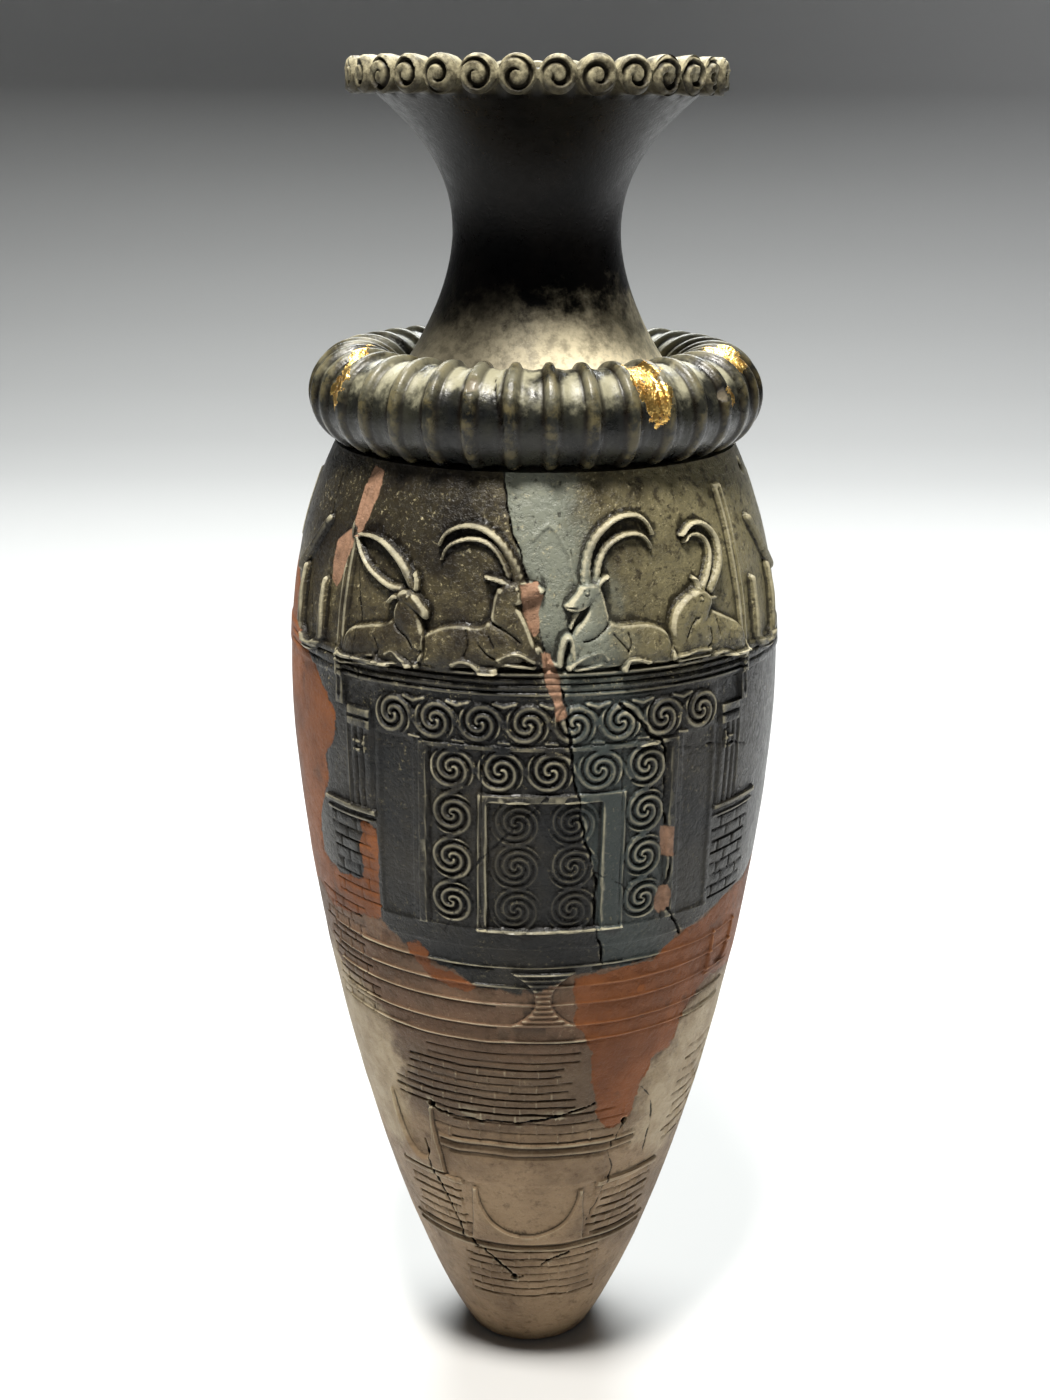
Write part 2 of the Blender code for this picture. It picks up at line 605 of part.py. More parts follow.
def make_body():
    """The hollow egg-shaped vessel: carved outer wall, flat seat, round inside and a small spout."""
    front = np.arange(FINE_LEFT, FINE_RIGHT, FINE_STEP)
    back = np.arange(FINE_RIGHT, FINE_LEFT + 360.0, COARSE_STEP)
    angles = np.concatenate([front, back])
    heights = np.linspace(FOOT_EDGE, BODY_HEIGHT, WALL_ROWS)
    fade = soft_step((BODY_HEIGHT - heights) / FADE_FROM_TOP)
    fade = fade * soft_step((heights - FADE_FROM_FOOT) / FADE_LENGTH)
    outer = wall_radius(heights)[:, None] + body_relief(angles, heights) * fade[:, None]

    corner = np.radians(np.arange(0.0, 90.0, 22.5))
    edge_radius = wall_radius(FOOT_EDGE) - FOOT_EDGE + FOOT_EDGE * np.sin(corner)
    edge_height = FOOT_EDGE - FOOT_EDGE * np.cos(corner)

    turn_height = BODY_HEIGHT - SHOULDER_THICKNESS - 0.7 * (SEAT_RADIUS - MOUTH_RADIUS)
    inner_low = np.linspace(FLOOR_THICKNESS, turn_height, 26)[::-1]
    inner_low_radius = wall_radius(inner_low) - BODY_WALL
    arc = np.radians(np.linspace(90.0, 0.0, 9))[:-1]
    span = wall_radius(turn_height) - BODY_WALL - MOUTH_RADIUS
    rise = BODY_HEIGHT - SHOULDER_THICKNESS - turn_height
    arc_radius = MOUTH_RADIUS + span * np.cos(arc)
    arc_height = turn_height + rise * np.sin(arc)

    floor_radius = np.linspace(inner_low_radius[-1], SPOUT_RADIUS, 5)[1:]
    foot_radius = np.linspace(SPOUT_RADIUS, edge_radius[0], 4)[:-1]
    seat_radius = np.linspace(SEAT_RADIUS, MOUTH_RADIUS, 6)[1:]
    plain_radius = np.concatenate(
        [seat_radius, arc_radius, inner_low_radius, floor_radius, foot_radius, edge_radius]
    )
    plain_height = np.concatenate(
        [
            np.full(len(seat_radius), BODY_HEIGHT),
            arc_height,
            inner_low,
            np.full(len(floor_radius), FLOOR_THICKNESS),
            np.zeros(len(foot_radius)),
            edge_height,
        ]
    )
    spread = np.ones(len(angles))[None, :]
    radii = np.concatenate([outer, plain_radius[:, None] * spread])
    levels = np.concatenate([heights[:, None] * spread, plain_height[:, None] * spread])
    finish = stone("Relief stone", (0.16, 0.14, 0.11), 0.55)
    body = closed_ring("body", radii, levels, angles, finish)
    thin_out(body, BODY_TRIANGLES, (0.0, BODY_HEIGHT))


def make_collar_ring():
    """The ring on the shoulder: a round tube with narrow ribs and hollow flutes between them."""
    crest_to_flute = (0.0, 0.22, 0.78)
    angles = np.array([number + share for number in range(RING_FLUTES) for share in crest_to_flute])
    angles = angles * 360.0 / RING_FLUTES + RING_TURN
    offset = np.tile([RIB_HEIGHT, -0.7 * FLUTE_DEPTH, -0.7 * FLUTE_DEPTH], RING_FLUTES)
    around = np.radians(np.linspace(-75.0, 255.0, 9))[:, None]
    tube = RING_TUBE_RADIUS + offset[None, :]
    radii = RING_CENTRE_RADIUS + tube * np.cos(around)
    heights = RING_HEIGHT + tube * np.sin(around)
    heights = np.maximum(heights, BODY_HEIGHT + REST_GAP)
    finish = stone("Ribbed stone", (0.10, 0.105, 0.085), 0.4)
    closed_ring("collar_ring", radii, heights, angles, finish)


def neck_radius(height):
    """Outer radius of the neck: a power curve down to its lip and another up to the rim."""
    waist = BODY_HEIGHT + WAIST_RISE
    lip = RING_HEIGHT + 0.55 * RING_TUBE_RADIUS
    rim = BODY_HEIGHT + RIM_RISE - COIL_RADIUS
    down = np.clip((waist - height) / (waist - lip), 0.0, 1.0)
    up = np.clip((height - waist) / (rim - waist), 0.0, 1.0)
    foot = (FOOT_OF_NECK + NECK_LIP - WAIST_RADIUS) * down**NECK_SPREAD
    return WAIST_RADIUS + foot + (LIP_RADIUS - WAIST_RADIUS) * up**LIP_SPREAD


def make_neck():
    """The neck: it stands on the seat inside the ring, flares out and ends in a rim of coils."""
    steps = 14
    columns = RIM_COILS * steps
    angles = (np.arange(columns) + 0.5) * 360.0 / columns
    across = ((np.arange(columns) + 0.5) / steps % 1.0 - 0.5) * COIL_PITCH
    coil = np.sqrt(np.clip(COIL_RADIUS**2 - across**2, (0.3 * COIL_RADIUS) ** 2, None))
    centre = BODY_HEIGHT + RIM_RISE
    foot = BODY_HEIGHT + REST_GAP
    lip = RING_HEIGHT + 0.55 * RING_TUBE_RADIUS
    rim = centre - COIL_RADIUS

    side = np.linspace(lip, rim, 30)
    low_radius = np.array([MOUTH_RADIUS, 0.5 * (MOUTH_RADIUS + FOOT_OF_NECK), FOOT_OF_NECK, FOOT_OF_NECK])
    low_height = np.array([foot, foot, foot, RING_HEIGHT + 0.1 * RING_TUBE_RADIUS])
    ones = np.ones(columns)[None, :]
    outer_radius = np.concatenate([low_radius, neck_radius(side)])[:, None] * ones
    outer_height = np.concatenate([low_height, side])[:, None] * ones

    face = np.linspace(-1.0, 1.0, 17)[:, None]
    face_height = centre + face * coil[None, :]
    reach = np.hypot(across[None, :], face * coil[None, :])
    bearing = np.arctan2(face * coil[None, :], across[None, :])
    winding = 0.5 + 0.5 * np.cos(2 * np.pi * (reach / (0.42 * COIL_RADIUS)) - bearing)
    rounding = soft_step((COIL_RADIUS - reach) / (0.3 * COIL_RADIUS))
    face_radius = RIM_RADIUS - COIL_CARVING * (1.0 - winding * rounding)

    root = RIM_RADIUS - COIL_LENGTH
    under = np.array([[root], [RIM_RADIUS - 1.4 * COIL_CARVING]])
    under_height = np.concatenate([centre - 0.9 * coil[None, :], centre - coil[None, :]])
    over = np.array([[RIM_RADIUS - 1.4 * COIL_CARVING], [root]])
    over_height = np.concatenate([centre + coil[None, :], centre + 0.95 * coil[None, :]])
    rim_top = centre + 0.3 * COIL_RADIUS

    inner = np.linspace(rim_top - 0.5 * NECK_WALL, foot + 1.0 * MM, 30)
    slope = (neck_radius(inner + 0.5 * MM) - neck_radius(inner - 0.5 * MM)) / MM
    inner_radius = neck_radius(inner) - NECK_WALL * np.sqrt(1.0 + slope**2)
    inner_radius = np.minimum(inner_radius, MOUTH_RADIUS + np.clip(inner - lip, 0.0, None))
    top_radius = np.array([root - 0.8 * MM, inner_radius[0] + 0.8 * MM])
    inner_all = np.concatenate([top_radius, inner_radius])[:, None] * ones
    inner_height = np.concatenate([[rim_top, rim_top], inner])[:, None] * ones

    radii = np.concatenate([outer_radius, under * ones, face_radius, over * ones, inner_all])
    heights = np.concatenate([outer_height, under_height, face_height, over_height, inner_height])
    finish = stone("Neck stone", (0.07, 0.075, 0.065), 0.4)
    neck = closed_ring("neck_and_rim", radii, heights, angles, finish)
    thin_out(neck, NECK_TRIANGLES, (foot,))


clear_scene()
make_body()
make_collar_ring()
make_neck()
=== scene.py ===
"""A tall egg-shaped relief vessel of dark stone, mended with plaster, with a ribbed collar ring
that keeps scraps of gold leaf, and a flared neck with a scrolled rim.

Sizes are in metres. +Z is up and the carved front faces -Y. Angles are degrees round the axis
from the front, positive towards +X.
"""

import math

import bpy
import mathutils
import numpy as np
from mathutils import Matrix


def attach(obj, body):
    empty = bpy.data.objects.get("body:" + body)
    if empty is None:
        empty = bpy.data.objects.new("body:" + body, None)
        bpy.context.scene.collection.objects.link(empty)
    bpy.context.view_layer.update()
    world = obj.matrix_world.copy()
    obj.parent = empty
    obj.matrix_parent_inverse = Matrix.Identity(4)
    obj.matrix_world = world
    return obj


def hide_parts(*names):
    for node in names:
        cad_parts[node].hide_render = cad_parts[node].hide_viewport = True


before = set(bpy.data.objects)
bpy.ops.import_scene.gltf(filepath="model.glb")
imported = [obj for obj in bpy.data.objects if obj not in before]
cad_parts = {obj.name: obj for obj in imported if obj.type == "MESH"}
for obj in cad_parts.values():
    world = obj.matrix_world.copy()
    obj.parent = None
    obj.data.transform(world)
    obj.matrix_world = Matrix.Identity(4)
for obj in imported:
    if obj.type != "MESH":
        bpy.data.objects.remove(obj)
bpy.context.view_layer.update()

MM = 0.001

# The solids' own sizes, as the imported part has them
BODY_HEIGHT = 228.0 * MM
FOOT_RADIUS = 14.6 * MM
FOOT_EDGE = 1.3 * MM
BELLY_RADIUS = 56.7 * MM
BELLY_HEIGHT = 172.0 * MM
BODY_WALL = 8.0 * MM
FLOOR_THICKNESS = 15.0 * MM
SHOULDER_THICKNESS = 8.0 * MM
SPOUT_RADIUS = 2.0 * MM
RING_CENTRE_RADIUS = 40.0 * MM
RING_TUBE_RADIUS = 10.8 * MM
RING_FLAT = 0.4 * MM
RING_FLUTES = 36
RING_TURN = 4.0
RIB_HEIGHT = 0.5 * MM
NECK_WALL = 4.6 * MM
NECK_SEAT = 8.0 * MM
NECK_LIP = 1.5 * MM
WAIST_RADIUS = 18.7 * MM
WAIST_RISE = 46.0 * MM
LIP_RADIUS = 35.0 * MM
RIM_RADIUS = 41.8 * MM
RIM_RISE = 78.9 * MM
RIM_COILS = 31
COIL_LENGTH = 5.6 * MM
REST_GAP = 0.3 * MM
FIT_GAP = 0.4 * MM
SHOULDER_REACH = 5.4 * MM

FOOT_OF_NECK = RING_CENTRE_RADIUS - RING_TUBE_RADIUS - RIB_HEIGHT - FIT_GAP
MOUTH_RADIUS = FOOT_OF_NECK - NECK_SEAT
SEAT_RADIUS = RING_CENTRE_RADIUS + SHOULDER_REACH
RING_HEIGHT = BODY_HEIGHT + REST_GAP + RING_TUBE_RADIUS - RING_FLAT
COIL_PITCH = 2 * np.pi * RIM_RADIUS / RIM_COILS
COIL_RADIUS = 0.48 * COIL_PITCH

LOWER_FULLNESS = 1.618
LOWER_ROUNDNESS = 1.218
SHOULDER_FALL = 2.414
NECK_SPREAD = 1.8
LIP_SPREAD = 2.2

BODY_FACES = 196000
# Angles between which the body's grid is fine, and radii in mm that turn angles into distances
FINE_LEFT, FINE_RIGHT = -78.0, 82.0
WALL_REACH = 50.0
CRACK_REACH = 55.0
RING_REACH = 48.0


# Shapes of the wall


def soft_step(share):
    """Rises from 0 to 1 as the share goes from 0 to 1, level at both ends: 3s^2 - 2s^3."""
    share = np.clip(share, 0.0, 1.0)
    return share * share * (3.0 - 2.0 * share)


def inside(distance, edge):
    """1 well inside a shape and 0 outside, from its signed distance, over an edge of this width."""
    return soft_step(0.5 - distance / edge)


def wall_radius(height):
    """Outer radius of the bare body in metres: one power curve to the belly, one to the seat."""
    low = np.clip(height / BELLY_HEIGHT, 0.0, 1.0)
    high = np.clip((height - BELLY_HEIGHT) / (BODY_HEIGHT - BELLY_HEIGHT), 0.0, 1.0)
    swell = (1.0 - (1.0 - low) ** LOWER_FULLNESS) ** (1.0 / LOWER_ROUNDNESS)
    lower = FOOT_RADIUS + (BELLY_RADIUS - FOOT_RADIUS) * swell
    upper = BELLY_RADIUS - (BELLY_RADIUS - SEAT_RADIUS) * high**SHOULDER_FALL
    return np.where(height < BELLY_HEIGHT, lower, upper)


def wall_mm(height_mm):
    """The same radius, in millimetres from a height in millimetres."""
    return wall_radius(np.asarray(height_mm, float) * MM) / MM


def lattice_noise(across, up, size, seed):
    """Smooth noise from -1 to 1: random values on a square lattice, blended by soft steps.
    The lattice wraps, so any coordinates will do; size is one cell in millimetres."""
    table = np.random.default_rng(seed).uniform(-1.0, 1.0, (64, 64))
    u = np.asarray(across) / size
    v = np.asarray(up) / size
    column = np.floor(u).astype(int)
    row = np.floor(v).astype(int)
    s = soft_step(u - column)
    t = soft_step(v - row)
    here, after = column % 64, (column + 1) % 64
    low = table[row % 64, here] * (1 - s) + table[row % 64, after] * s
    high = table[(row + 1) % 64, here] * (1 - s) + table[(row + 1) % 64, after] * s
    return low * (1 - t) + high * t


def smooth_line(points, closed=False, steps=5):
    """A Catmull-Rom curve through points, as rows of (across, up)."""
    points = np.array(points, float)
    if len(points) < 3:
        return points
    if closed:
        ring = np.concatenate([points[-1:], points, points[:2]])
    else:
        before, beyond = 2 * points[:1] - points[1:2], 2 * points[-1:] - points[-2:-1]
        ring = np.concatenate([before, points, beyond])
    a, b, c, d = (ring[i : len(ring) - 3 + i, None, :] for i in range(4))
    t = (np.arange(steps) / steps)[None, :, None]
    square, cube = 2 * a - 5 * b + 4 * c - d, 3 * b - a - 3 * c + d
    curve = (0.5 * (2 * b + (c - a) * t + square * t**2 + cube * t**3)).reshape(-1, 2)
    return curve if closed else np.concatenate([curve, points[-1:]])


def rough_noise(across, up, size, seed, layers=3):
    """Layers of lattice noise, each half the size and half the strength of the one before."""
    total = 0.0
    for layer in range(layers):
        total = total + lattice_noise(across, up, size / 2**layer, seed + layer) / 2**layer
    return total / (2.0 - 0.5 ** (layers - 1))


# The carving, in millimetres


def rounded(gap, half):
    """A round-topped stroke: 1 on its middle line, falling to 0 at one and a half half widths."""
    return np.clip(1.0 - (gap / (1.5 * half)) ** 2, 0.0, 1.0) ** 0.7


def nearest_part(across, up, start, end):
    """The part of a straight line nearest each place, as a share of its run, and the gap to it."""
    run = np.array(end[:2], float) - np.array(start[:2], float)
    length = max(float(run @ run), 1e-9)
    share = ((across - start[0]) * run[0] + (up - start[1]) * run[1]) / length
    share = np.clip(share, 0.0, 1.0)
    return share, np.hypot(across - start[0] - share * run[0], up - start[1] - share * run[1])


class Carving:
    """Relief over the bare wall in mm, on a grid of angles (degrees) and heights (mm)."""

    def __init__(self, angles, heights):
        self.angles = angles
        self.heights = heights
        self.wall = wall_mm(heights)
        self.relief = np.zeros((len(heights), len(angles)))
        self.ground = self.relief
        place = np.radians(angles)[None, :] * WALL_REACH + 0.0 * heights[:, None]
        level = heights[:, None] + 0.0 * place
        uneven = 0.2 + 0.28 * soft_step((112.0 - level) / 30.0)
        self.sway = uneven * rough_noise(place, level, 9.0, 81, 2)
        self.rock = uneven * rough_noise(place, level, 11.0, 85, 2)

    def window(self, angle, height, half_width, half_height):
        """The part of the grid round a point, with distances across and up from that point, which
        waver a little as hand-cut lines do."""
        turn = (self.angles - angle + 180.0) % 360.0 - 180.0
        rows = np.flatnonzero(np.abs(self.heights - height) <= half_height)
        reach = np.degrees(half_width / wall_mm(max(height - 0.5 * half_height, 1.0)))
        columns = np.flatnonzero(np.abs(turn) <= min(reach * 1.15, 180.0))
        area = np.ix_(rows, columns)
        across = np.radians(turn[columns])[None, :] * self.wall[rows][:, None] + self.sway[area]
        up = (self.heights[rows] - height)[:, None] + self.rock[area]
        return area, across, up

    def around(self, angle, height, points, margin):
        """A window with room for all these points, which are measured from (angle, height)."""
        low, high = points[:, 1].min() - margin, points[:, 1].max() + margin
        middle = 0.5 * (low + high)
        half = np.abs(points[:, 0]).max() + margin
        area, across, up = self.window(angle, height + middle, half, 0.5 * (high - low))
        return area, across, up + middle

    def settle(self):
        """Keeps the relief as it is now as the ground that raised strokes stand on."""
        self.ground = self.relief.copy()

    def build_up(self, area, amount):
        """Raises a part to this much over the settled ground, where it is lower."""
        self.relief[area] = np.maximum(self.relief[area], self.ground[area] + amount)

    def block(self, angle, left, right, bottom, top, amount, edge=0.5):
        """A flat raised or sunk rectangle; left and right are measured along the wall."""
        centre = 0.5 * (bottom + top)
        half = max(abs(left), abs(right)) + 2 * edge
        area, across, up = self.window(angle, centre, half, 0.5 * (top - bottom) + 2 * edge)
        side = np.abs(across - 0.5 * (left + right)) - 0.5 * (right - left)
        level = np.abs(up) - 0.5 * (top - bottom)
        self.relief[area] += amount * inside(np.maximum(side, level), edge)

    def line(self, first, last, height, width, amount, edge=0.4):
        """A level ridge or groove between two angles."""
        half = np.radians(0.5 * (last - first)) * float(wall_mm(height))
        bottom, top = height - 0.5 * width, height + 0.5 * width
        self.block(0.5 * (first + last), -half, half, bottom, top, amount, edge)

    def limb(self, angle, height, stroke, amount):
        """A rounded tapering stroke through rows of (across, up, radius): the height of a circle's
        arc over the gap to the nearest part of the stroke."""
        stroke = np.asarray(stroke, float)
        area, across, up = self.around(angle, height, stroke, stroke[:, 2].max() + 1.0)
        best = np.zeros_like(across)
        for start, end in zip(stroke[:-1], stroke[1:]):
            share, gap = nearest_part(across, up, start, end)
            radius = start[2] + (end[2] - start[2]) * share
            best = np.maximum(best, np.clip(1.0 - (gap / radius) ** 2, 0.0, 1.0) ** 0.5)
        self.build_up(area, amount * best)

    def form(self, angle, height, outline, amount, edge, swell):
        """A raised outline with a round edge, whose middle swells: a quarter circle over the depth
        from the outline, and a parabola over the first few mm of it."""
        area, across, up = self.around(angle, height, outline, 1.0)
        depth = polygon_depth(across, up, outline)
        side = np.sqrt(1.0 - (1.0 - np.clip(depth / edge, 0.0, 1.0)) ** 2)
        crown = 1.0 - (1.0 - np.clip(depth / CROWN_REACH, 0.0, 1.0)) ** 2
        self.build_up(area, amount * side + swell * crown)

    def groove(self, angle, height, points):
        """A cut line through (across, up) points, deepest in its middle."""
        area, across, up = self.around(angle, height, points, 1.5)
        gap = polyline_gap(across, up, points)
        self.relief[area] -= CUT_DEPTH * inside(gap - 0.5 * CUT_WIDTH, CUT_WIDTH)

    def spiral(self, angle, height, radius, turn, rows, amount, stroke):
        """Two raised arms winding in to a centre. The gap to an arm is how far the phase
        (reach - radius) / spacing + bearing / 180 is from a whole number, times the spacing."""
        size = radius + 2 * stroke
        area, across, up = self.window(angle, height, size, size)
        reach = np.hypot(across, up)
        bearing = np.degrees(np.arctan2(up, across)) - turn
        spacing = radius / rows
        phase = (reach - radius) / spacing + bearing / 180.0
        gap = np.abs((phase + 0.5) % 1.0 - 0.5) * spacing
        gap = np.where(reach > radius, np.hypot(gap, reach - radius), gap)
        self.build_up(area, amount * rounded(gap, stroke))

    def stroke(self, angle, height, start, end, amount, half):
        """A raised straight stroke between two points near (angle, height)."""
        size = max(np.hypot(*start), np.hypot(*end)) + 2 * half
        area, across, up = self.window(angle, height, size, size)
        gap = nearest_part(across, up, start, end)[1]
        self.build_up(area, amount * rounded(gap, half))


SHRINE_ANGLE = 3.8
GROUND_LEFT = -47.5
GROUND_RIGHT = 54.0
GOAT_LEDGE = 188.3
CORNICE_BOTTOM = 182.4
FRIEZE_BOTTOM = 172.2
FRIEZE_CENTRE = 177.0
DOOR_BAND_BOTTOM = 161.4
SILL = 128.8
SHRINE_BOTTOM = 124.4
SHRINE_HALF = 40.2
PANEL_HALF = 28.8
PANEL_BORDER = 2.0
JAMB_LEFT, LEAF_LEFT, LEAF_RIGHT, JAMB_RIGHT = -15.5, -13.2, 11.2, 16.4
FRIEZE_PITCH = 9.9
BAND_PITCH = 10.5
LEAF_PITCH = 10.4
WING_TURN = 41.5
CROWN_REACH = 4.2
CUT_WIDTH = 0.4
CUT_DEPTH = 0.65


def running_spirals(carving, angle, places, radius, rows, amount, stroke):
    """Spirals in a chain; a tangent stroke runs from the top of each to the foot of the next."""
    carving.settle()
    for here, after in zip(places, places[1:] + places[-1:]):
        step = np.array(after) - np.array(here)
        distance = float(np.hypot(*step))
        if distance == 0.0:
            step = np.array(here) - np.array(places[-2])
            distance = float(np.hypot(*step))
        heading = np.degrees(np.arctan2(step[1], step[0]))
        turn = heading + np.degrees(np.arccos(min(1.0, 2 * radius / distance)))
        centre = angle + np.degrees(here[0] / float(wall_mm(here[1])))
        carving.spiral(centre, here[1], radius, turn, rows, amount, stroke)
        if after != here:
            leave = radius * np.array([np.cos(np.radians(turn)), np.sin(np.radians(turn))])
            carving.stroke(centre, here[1], tuple(leave), tuple(step - leave), amount, stroke)


def masonry(
    carving, angle, left, right, bottom, top, course, length, amount, joint=0.38, seed=0, upright=None
):
    """Courses of blocks: level joints are grooves; upright ones are staggered, sunk or raised."""
    upright = -amount if upright is None else upright
    random = np.random.default_rng(seed)
    courses = max(1, round((top - bottom) / course))
    for number in range(courses + 1):
        level = bottom + (top - bottom) * number / courses
        start = left + random.uniform(0.0, 0.14) * (right - left)
        end = right - random.uniform(0.0, 0.14) * (right - left)
        cut = amount * random.uniform(0.55, 1.1)
        carving.block(angle, start, end, level - 0.5 * joint, level + 0.5 * joint, -cut, 0.35)
    for number in range(courses):
        low = bottom + (top - bottom) * number / courses
        high = bottom + (top - bottom) * (number + 1) / courses
        start = left + length * (0.5 + 0.5 * (number % 2))
        for place in np.arange(start, right - 0.3 * length, length):
            place = place + random.uniform(-0.12, 0.12) * length
            lift = upright * random.uniform(0.5, 1.0)
            carving.block(angle, place - 0.5 * joint, place + 0.5 * joint, low, high, lift, 0.3)


# Lying goats, as outlines and strokes in mm: across from the goat's own angle, up from its ledge
LEFT_GOAT = {
    "body": (
        (-7.8, -2.5), (-7.7, 1.3), (-6.9, 4.0), (-4.8, 5.9), (-1.8, 6.8), (1.6, 7.6), (4.0, 7.9),
        (6.0, 9.1), (8.5, 8.9), (11.2, 6.7), (13.2, 4.9), (13.2, 0.8), (6.7, -0.5),
    ),
    "neck": (
        (6.2, 8.9), (6.0, 11.1), (6.8, 13.3), (8.4, 14.4), (10.5, 12.9), (12.2, 10.8), (13.1, 8.6),
        (13.8, 6.2), (13.6, 3.2), (11.5, 2.5), (8.8, 5.2), (7.2, 7.1),
    ),
    "head": (
        (6.4, 14.5), (7.5, 15.5), (9.4, 15.7), (10.7, 15.0), (12.4, 13.5), (14.0, 11.8),
        (14.3, 10.4), (13.5, 9.7), (11.7, 10.8), (9.4, 12.2), (7.4, 12.8),
    ),
    "haunch": (
        (-6.5, -1.8), (-6.4, 1.5), (-4.6, 4.0), (-2.2, 5.1), (0.2, 4.4), (1.2, 2.4), (0.2, -0.2),
    ),
    "ear": ((6.7, 13.9), (5.5, 13.6), (4.3, 12.4)),
    "other_ear": ((10.4, 15.8), (10.4, 17.5), (9.7, 18.8)),
    "outer_horn": (
        (9.6, 16.3), (7.7, 18.8), (5.6, 21.0), (2.8, 23.0), (0.1, 24.3), (-3.0, 24.9), (-6.5, 24.8),
    ),
    "inner_horn": (
        (6.5, 15.2), (3.9, 15.5), (1.0, 16.6), (-1.8, 18.2), (-4.4, 20.4), (-6.2, 22.6),
        (-7.3, 24.3),
    ),
    "hindleg": ((-2.2, 0.1), (0.1, 0.5), (2.1, 1.0), (3.2, -0.1)),
    "foot": ((-6.8, -1.9), (-2.7, -1.3), (1.3, -1.0), (5.7, -0.6)),
    "foreleg": ((5.3, 1.7), (7.0, 2.6), (9.1, 1.0), (10.9, 0.1)),
    "lower_foreleg": ((9.5, 2.3), (11.1, 1.2), (12.6, 0.1)),
    "eye": ((9.4, 14.3),),
    "cut_1": ((6.8, 8.1), (8.2, 6.8), (10.0, 5.8), (11.4, 3.6)),
    "cut_2": ((2.1, 4.7), (3.4, 2.5), (2.4, 0.6)),
}
MID_GOAT = {
    "body": (
        (-7.1, -0.2), (-7.1, 3.2), (-6.8, 6.6), (-5.0, 7.8), (-3.0, 8.8), (-0.5, 9.4), (1.6, 9.6),
        (4.0, 9.3), (5.7, 9.6), (7.1, 10.7), (9.5, 10.2), (12.2, 8.6), (14.4, 6.1), (15.1, 3.0),
        (12.9, 1.1), (4.5, 0.4),
    ),
    "neck": (
        (7.3, 10.7), (7.4, 13.1), (7.7, 15.6), (8.7, 17.4), (10.8, 17.7), (12.3, 15.9),
        (12.6, 14.3), (13.9, 12.3), (15.3, 9.9), (16.2, 7.4), (17.1, 5.5), (18.6, 3.7), (18.9, 1.6),
        (14.9, 2.0), (11.7, 6.1), (9.1, 9.1),
    ),
    "head": (
        (8.1, 16.6), (9.5, 18.1), (11.3, 18.7), (13.4, 18.9), (15.4, 18.5), (17.3, 17.7),
        (18.0, 16.7), (16.6, 15.5), (14.4, 14.9), (12.6, 13.9), (10.5, 14.3),
    ),
    "haunch": (
        (-6.4, 0.3), (-6.2, 3.7), (-4.9, 5.9), (-2.7, 7.0), (-0.2, 7.0), (1.4, 5.6), (1.7, 3.1),
        (0.2, 0.9),
    ),
    "ear": ((10.5, 18.1), (8.4, 18.8), (5.8, 19.3)),
    "outer_horn": (
        (12.3, 19.1), (11.5, 21.7), (9.9, 24.2), (7.8, 26.6), (5.6, 28.2), (3.2, 29.1), (0.8, 29.2),
        (-1.6, 28.5), (-3.5, 27.2), (-4.6, 25.1),
    ),
    "inner_horn": (
        (10.6, 19.7), (9.4, 22.2), (7.8, 24.4), (5.8, 25.9), (3.4, 26.6), (1.0, 26.5), (-1.3, 25.7),
        (-3.0, 24.4), (-3.9, 22.2),
    ),
    "hindleg": ((-0.1, 1.3), (1.7, 2.1), (3.8, 1.8), (5.8, 0.4), (8.5, 0.4)),
    "foreleg": ((9.3, 2.9), (11.4, 4.0), (13.8, 4.1), (16.6, 2.6)),
    "lower_foreleg": ((10.8, 1.9), (13.3, 1.5), (16.6, 1.2)),
    "knee": ((17.1, 4.9), (18.2, 3.2), (18.7, 1.6)),
    "eye": ((12.4, 17.5),),
    "cut_1": ((7.8, 10.1), (9.7, 9.4), (12.0, 8.0), (13.8, 6.5)),
    "cut_2": ((5.2, 5.9), (7.0, 3.9), (8.7, 2.9)),
    "cut_3": ((7.3, 7.6), (8.4, 5.4)),
    "cut_4": ((2.5, 8.4), (3.1, 5.7), (2.3, 3.2)),
    "cut_5": ((16.0, 16.3), (17.8, 16.5)),
}
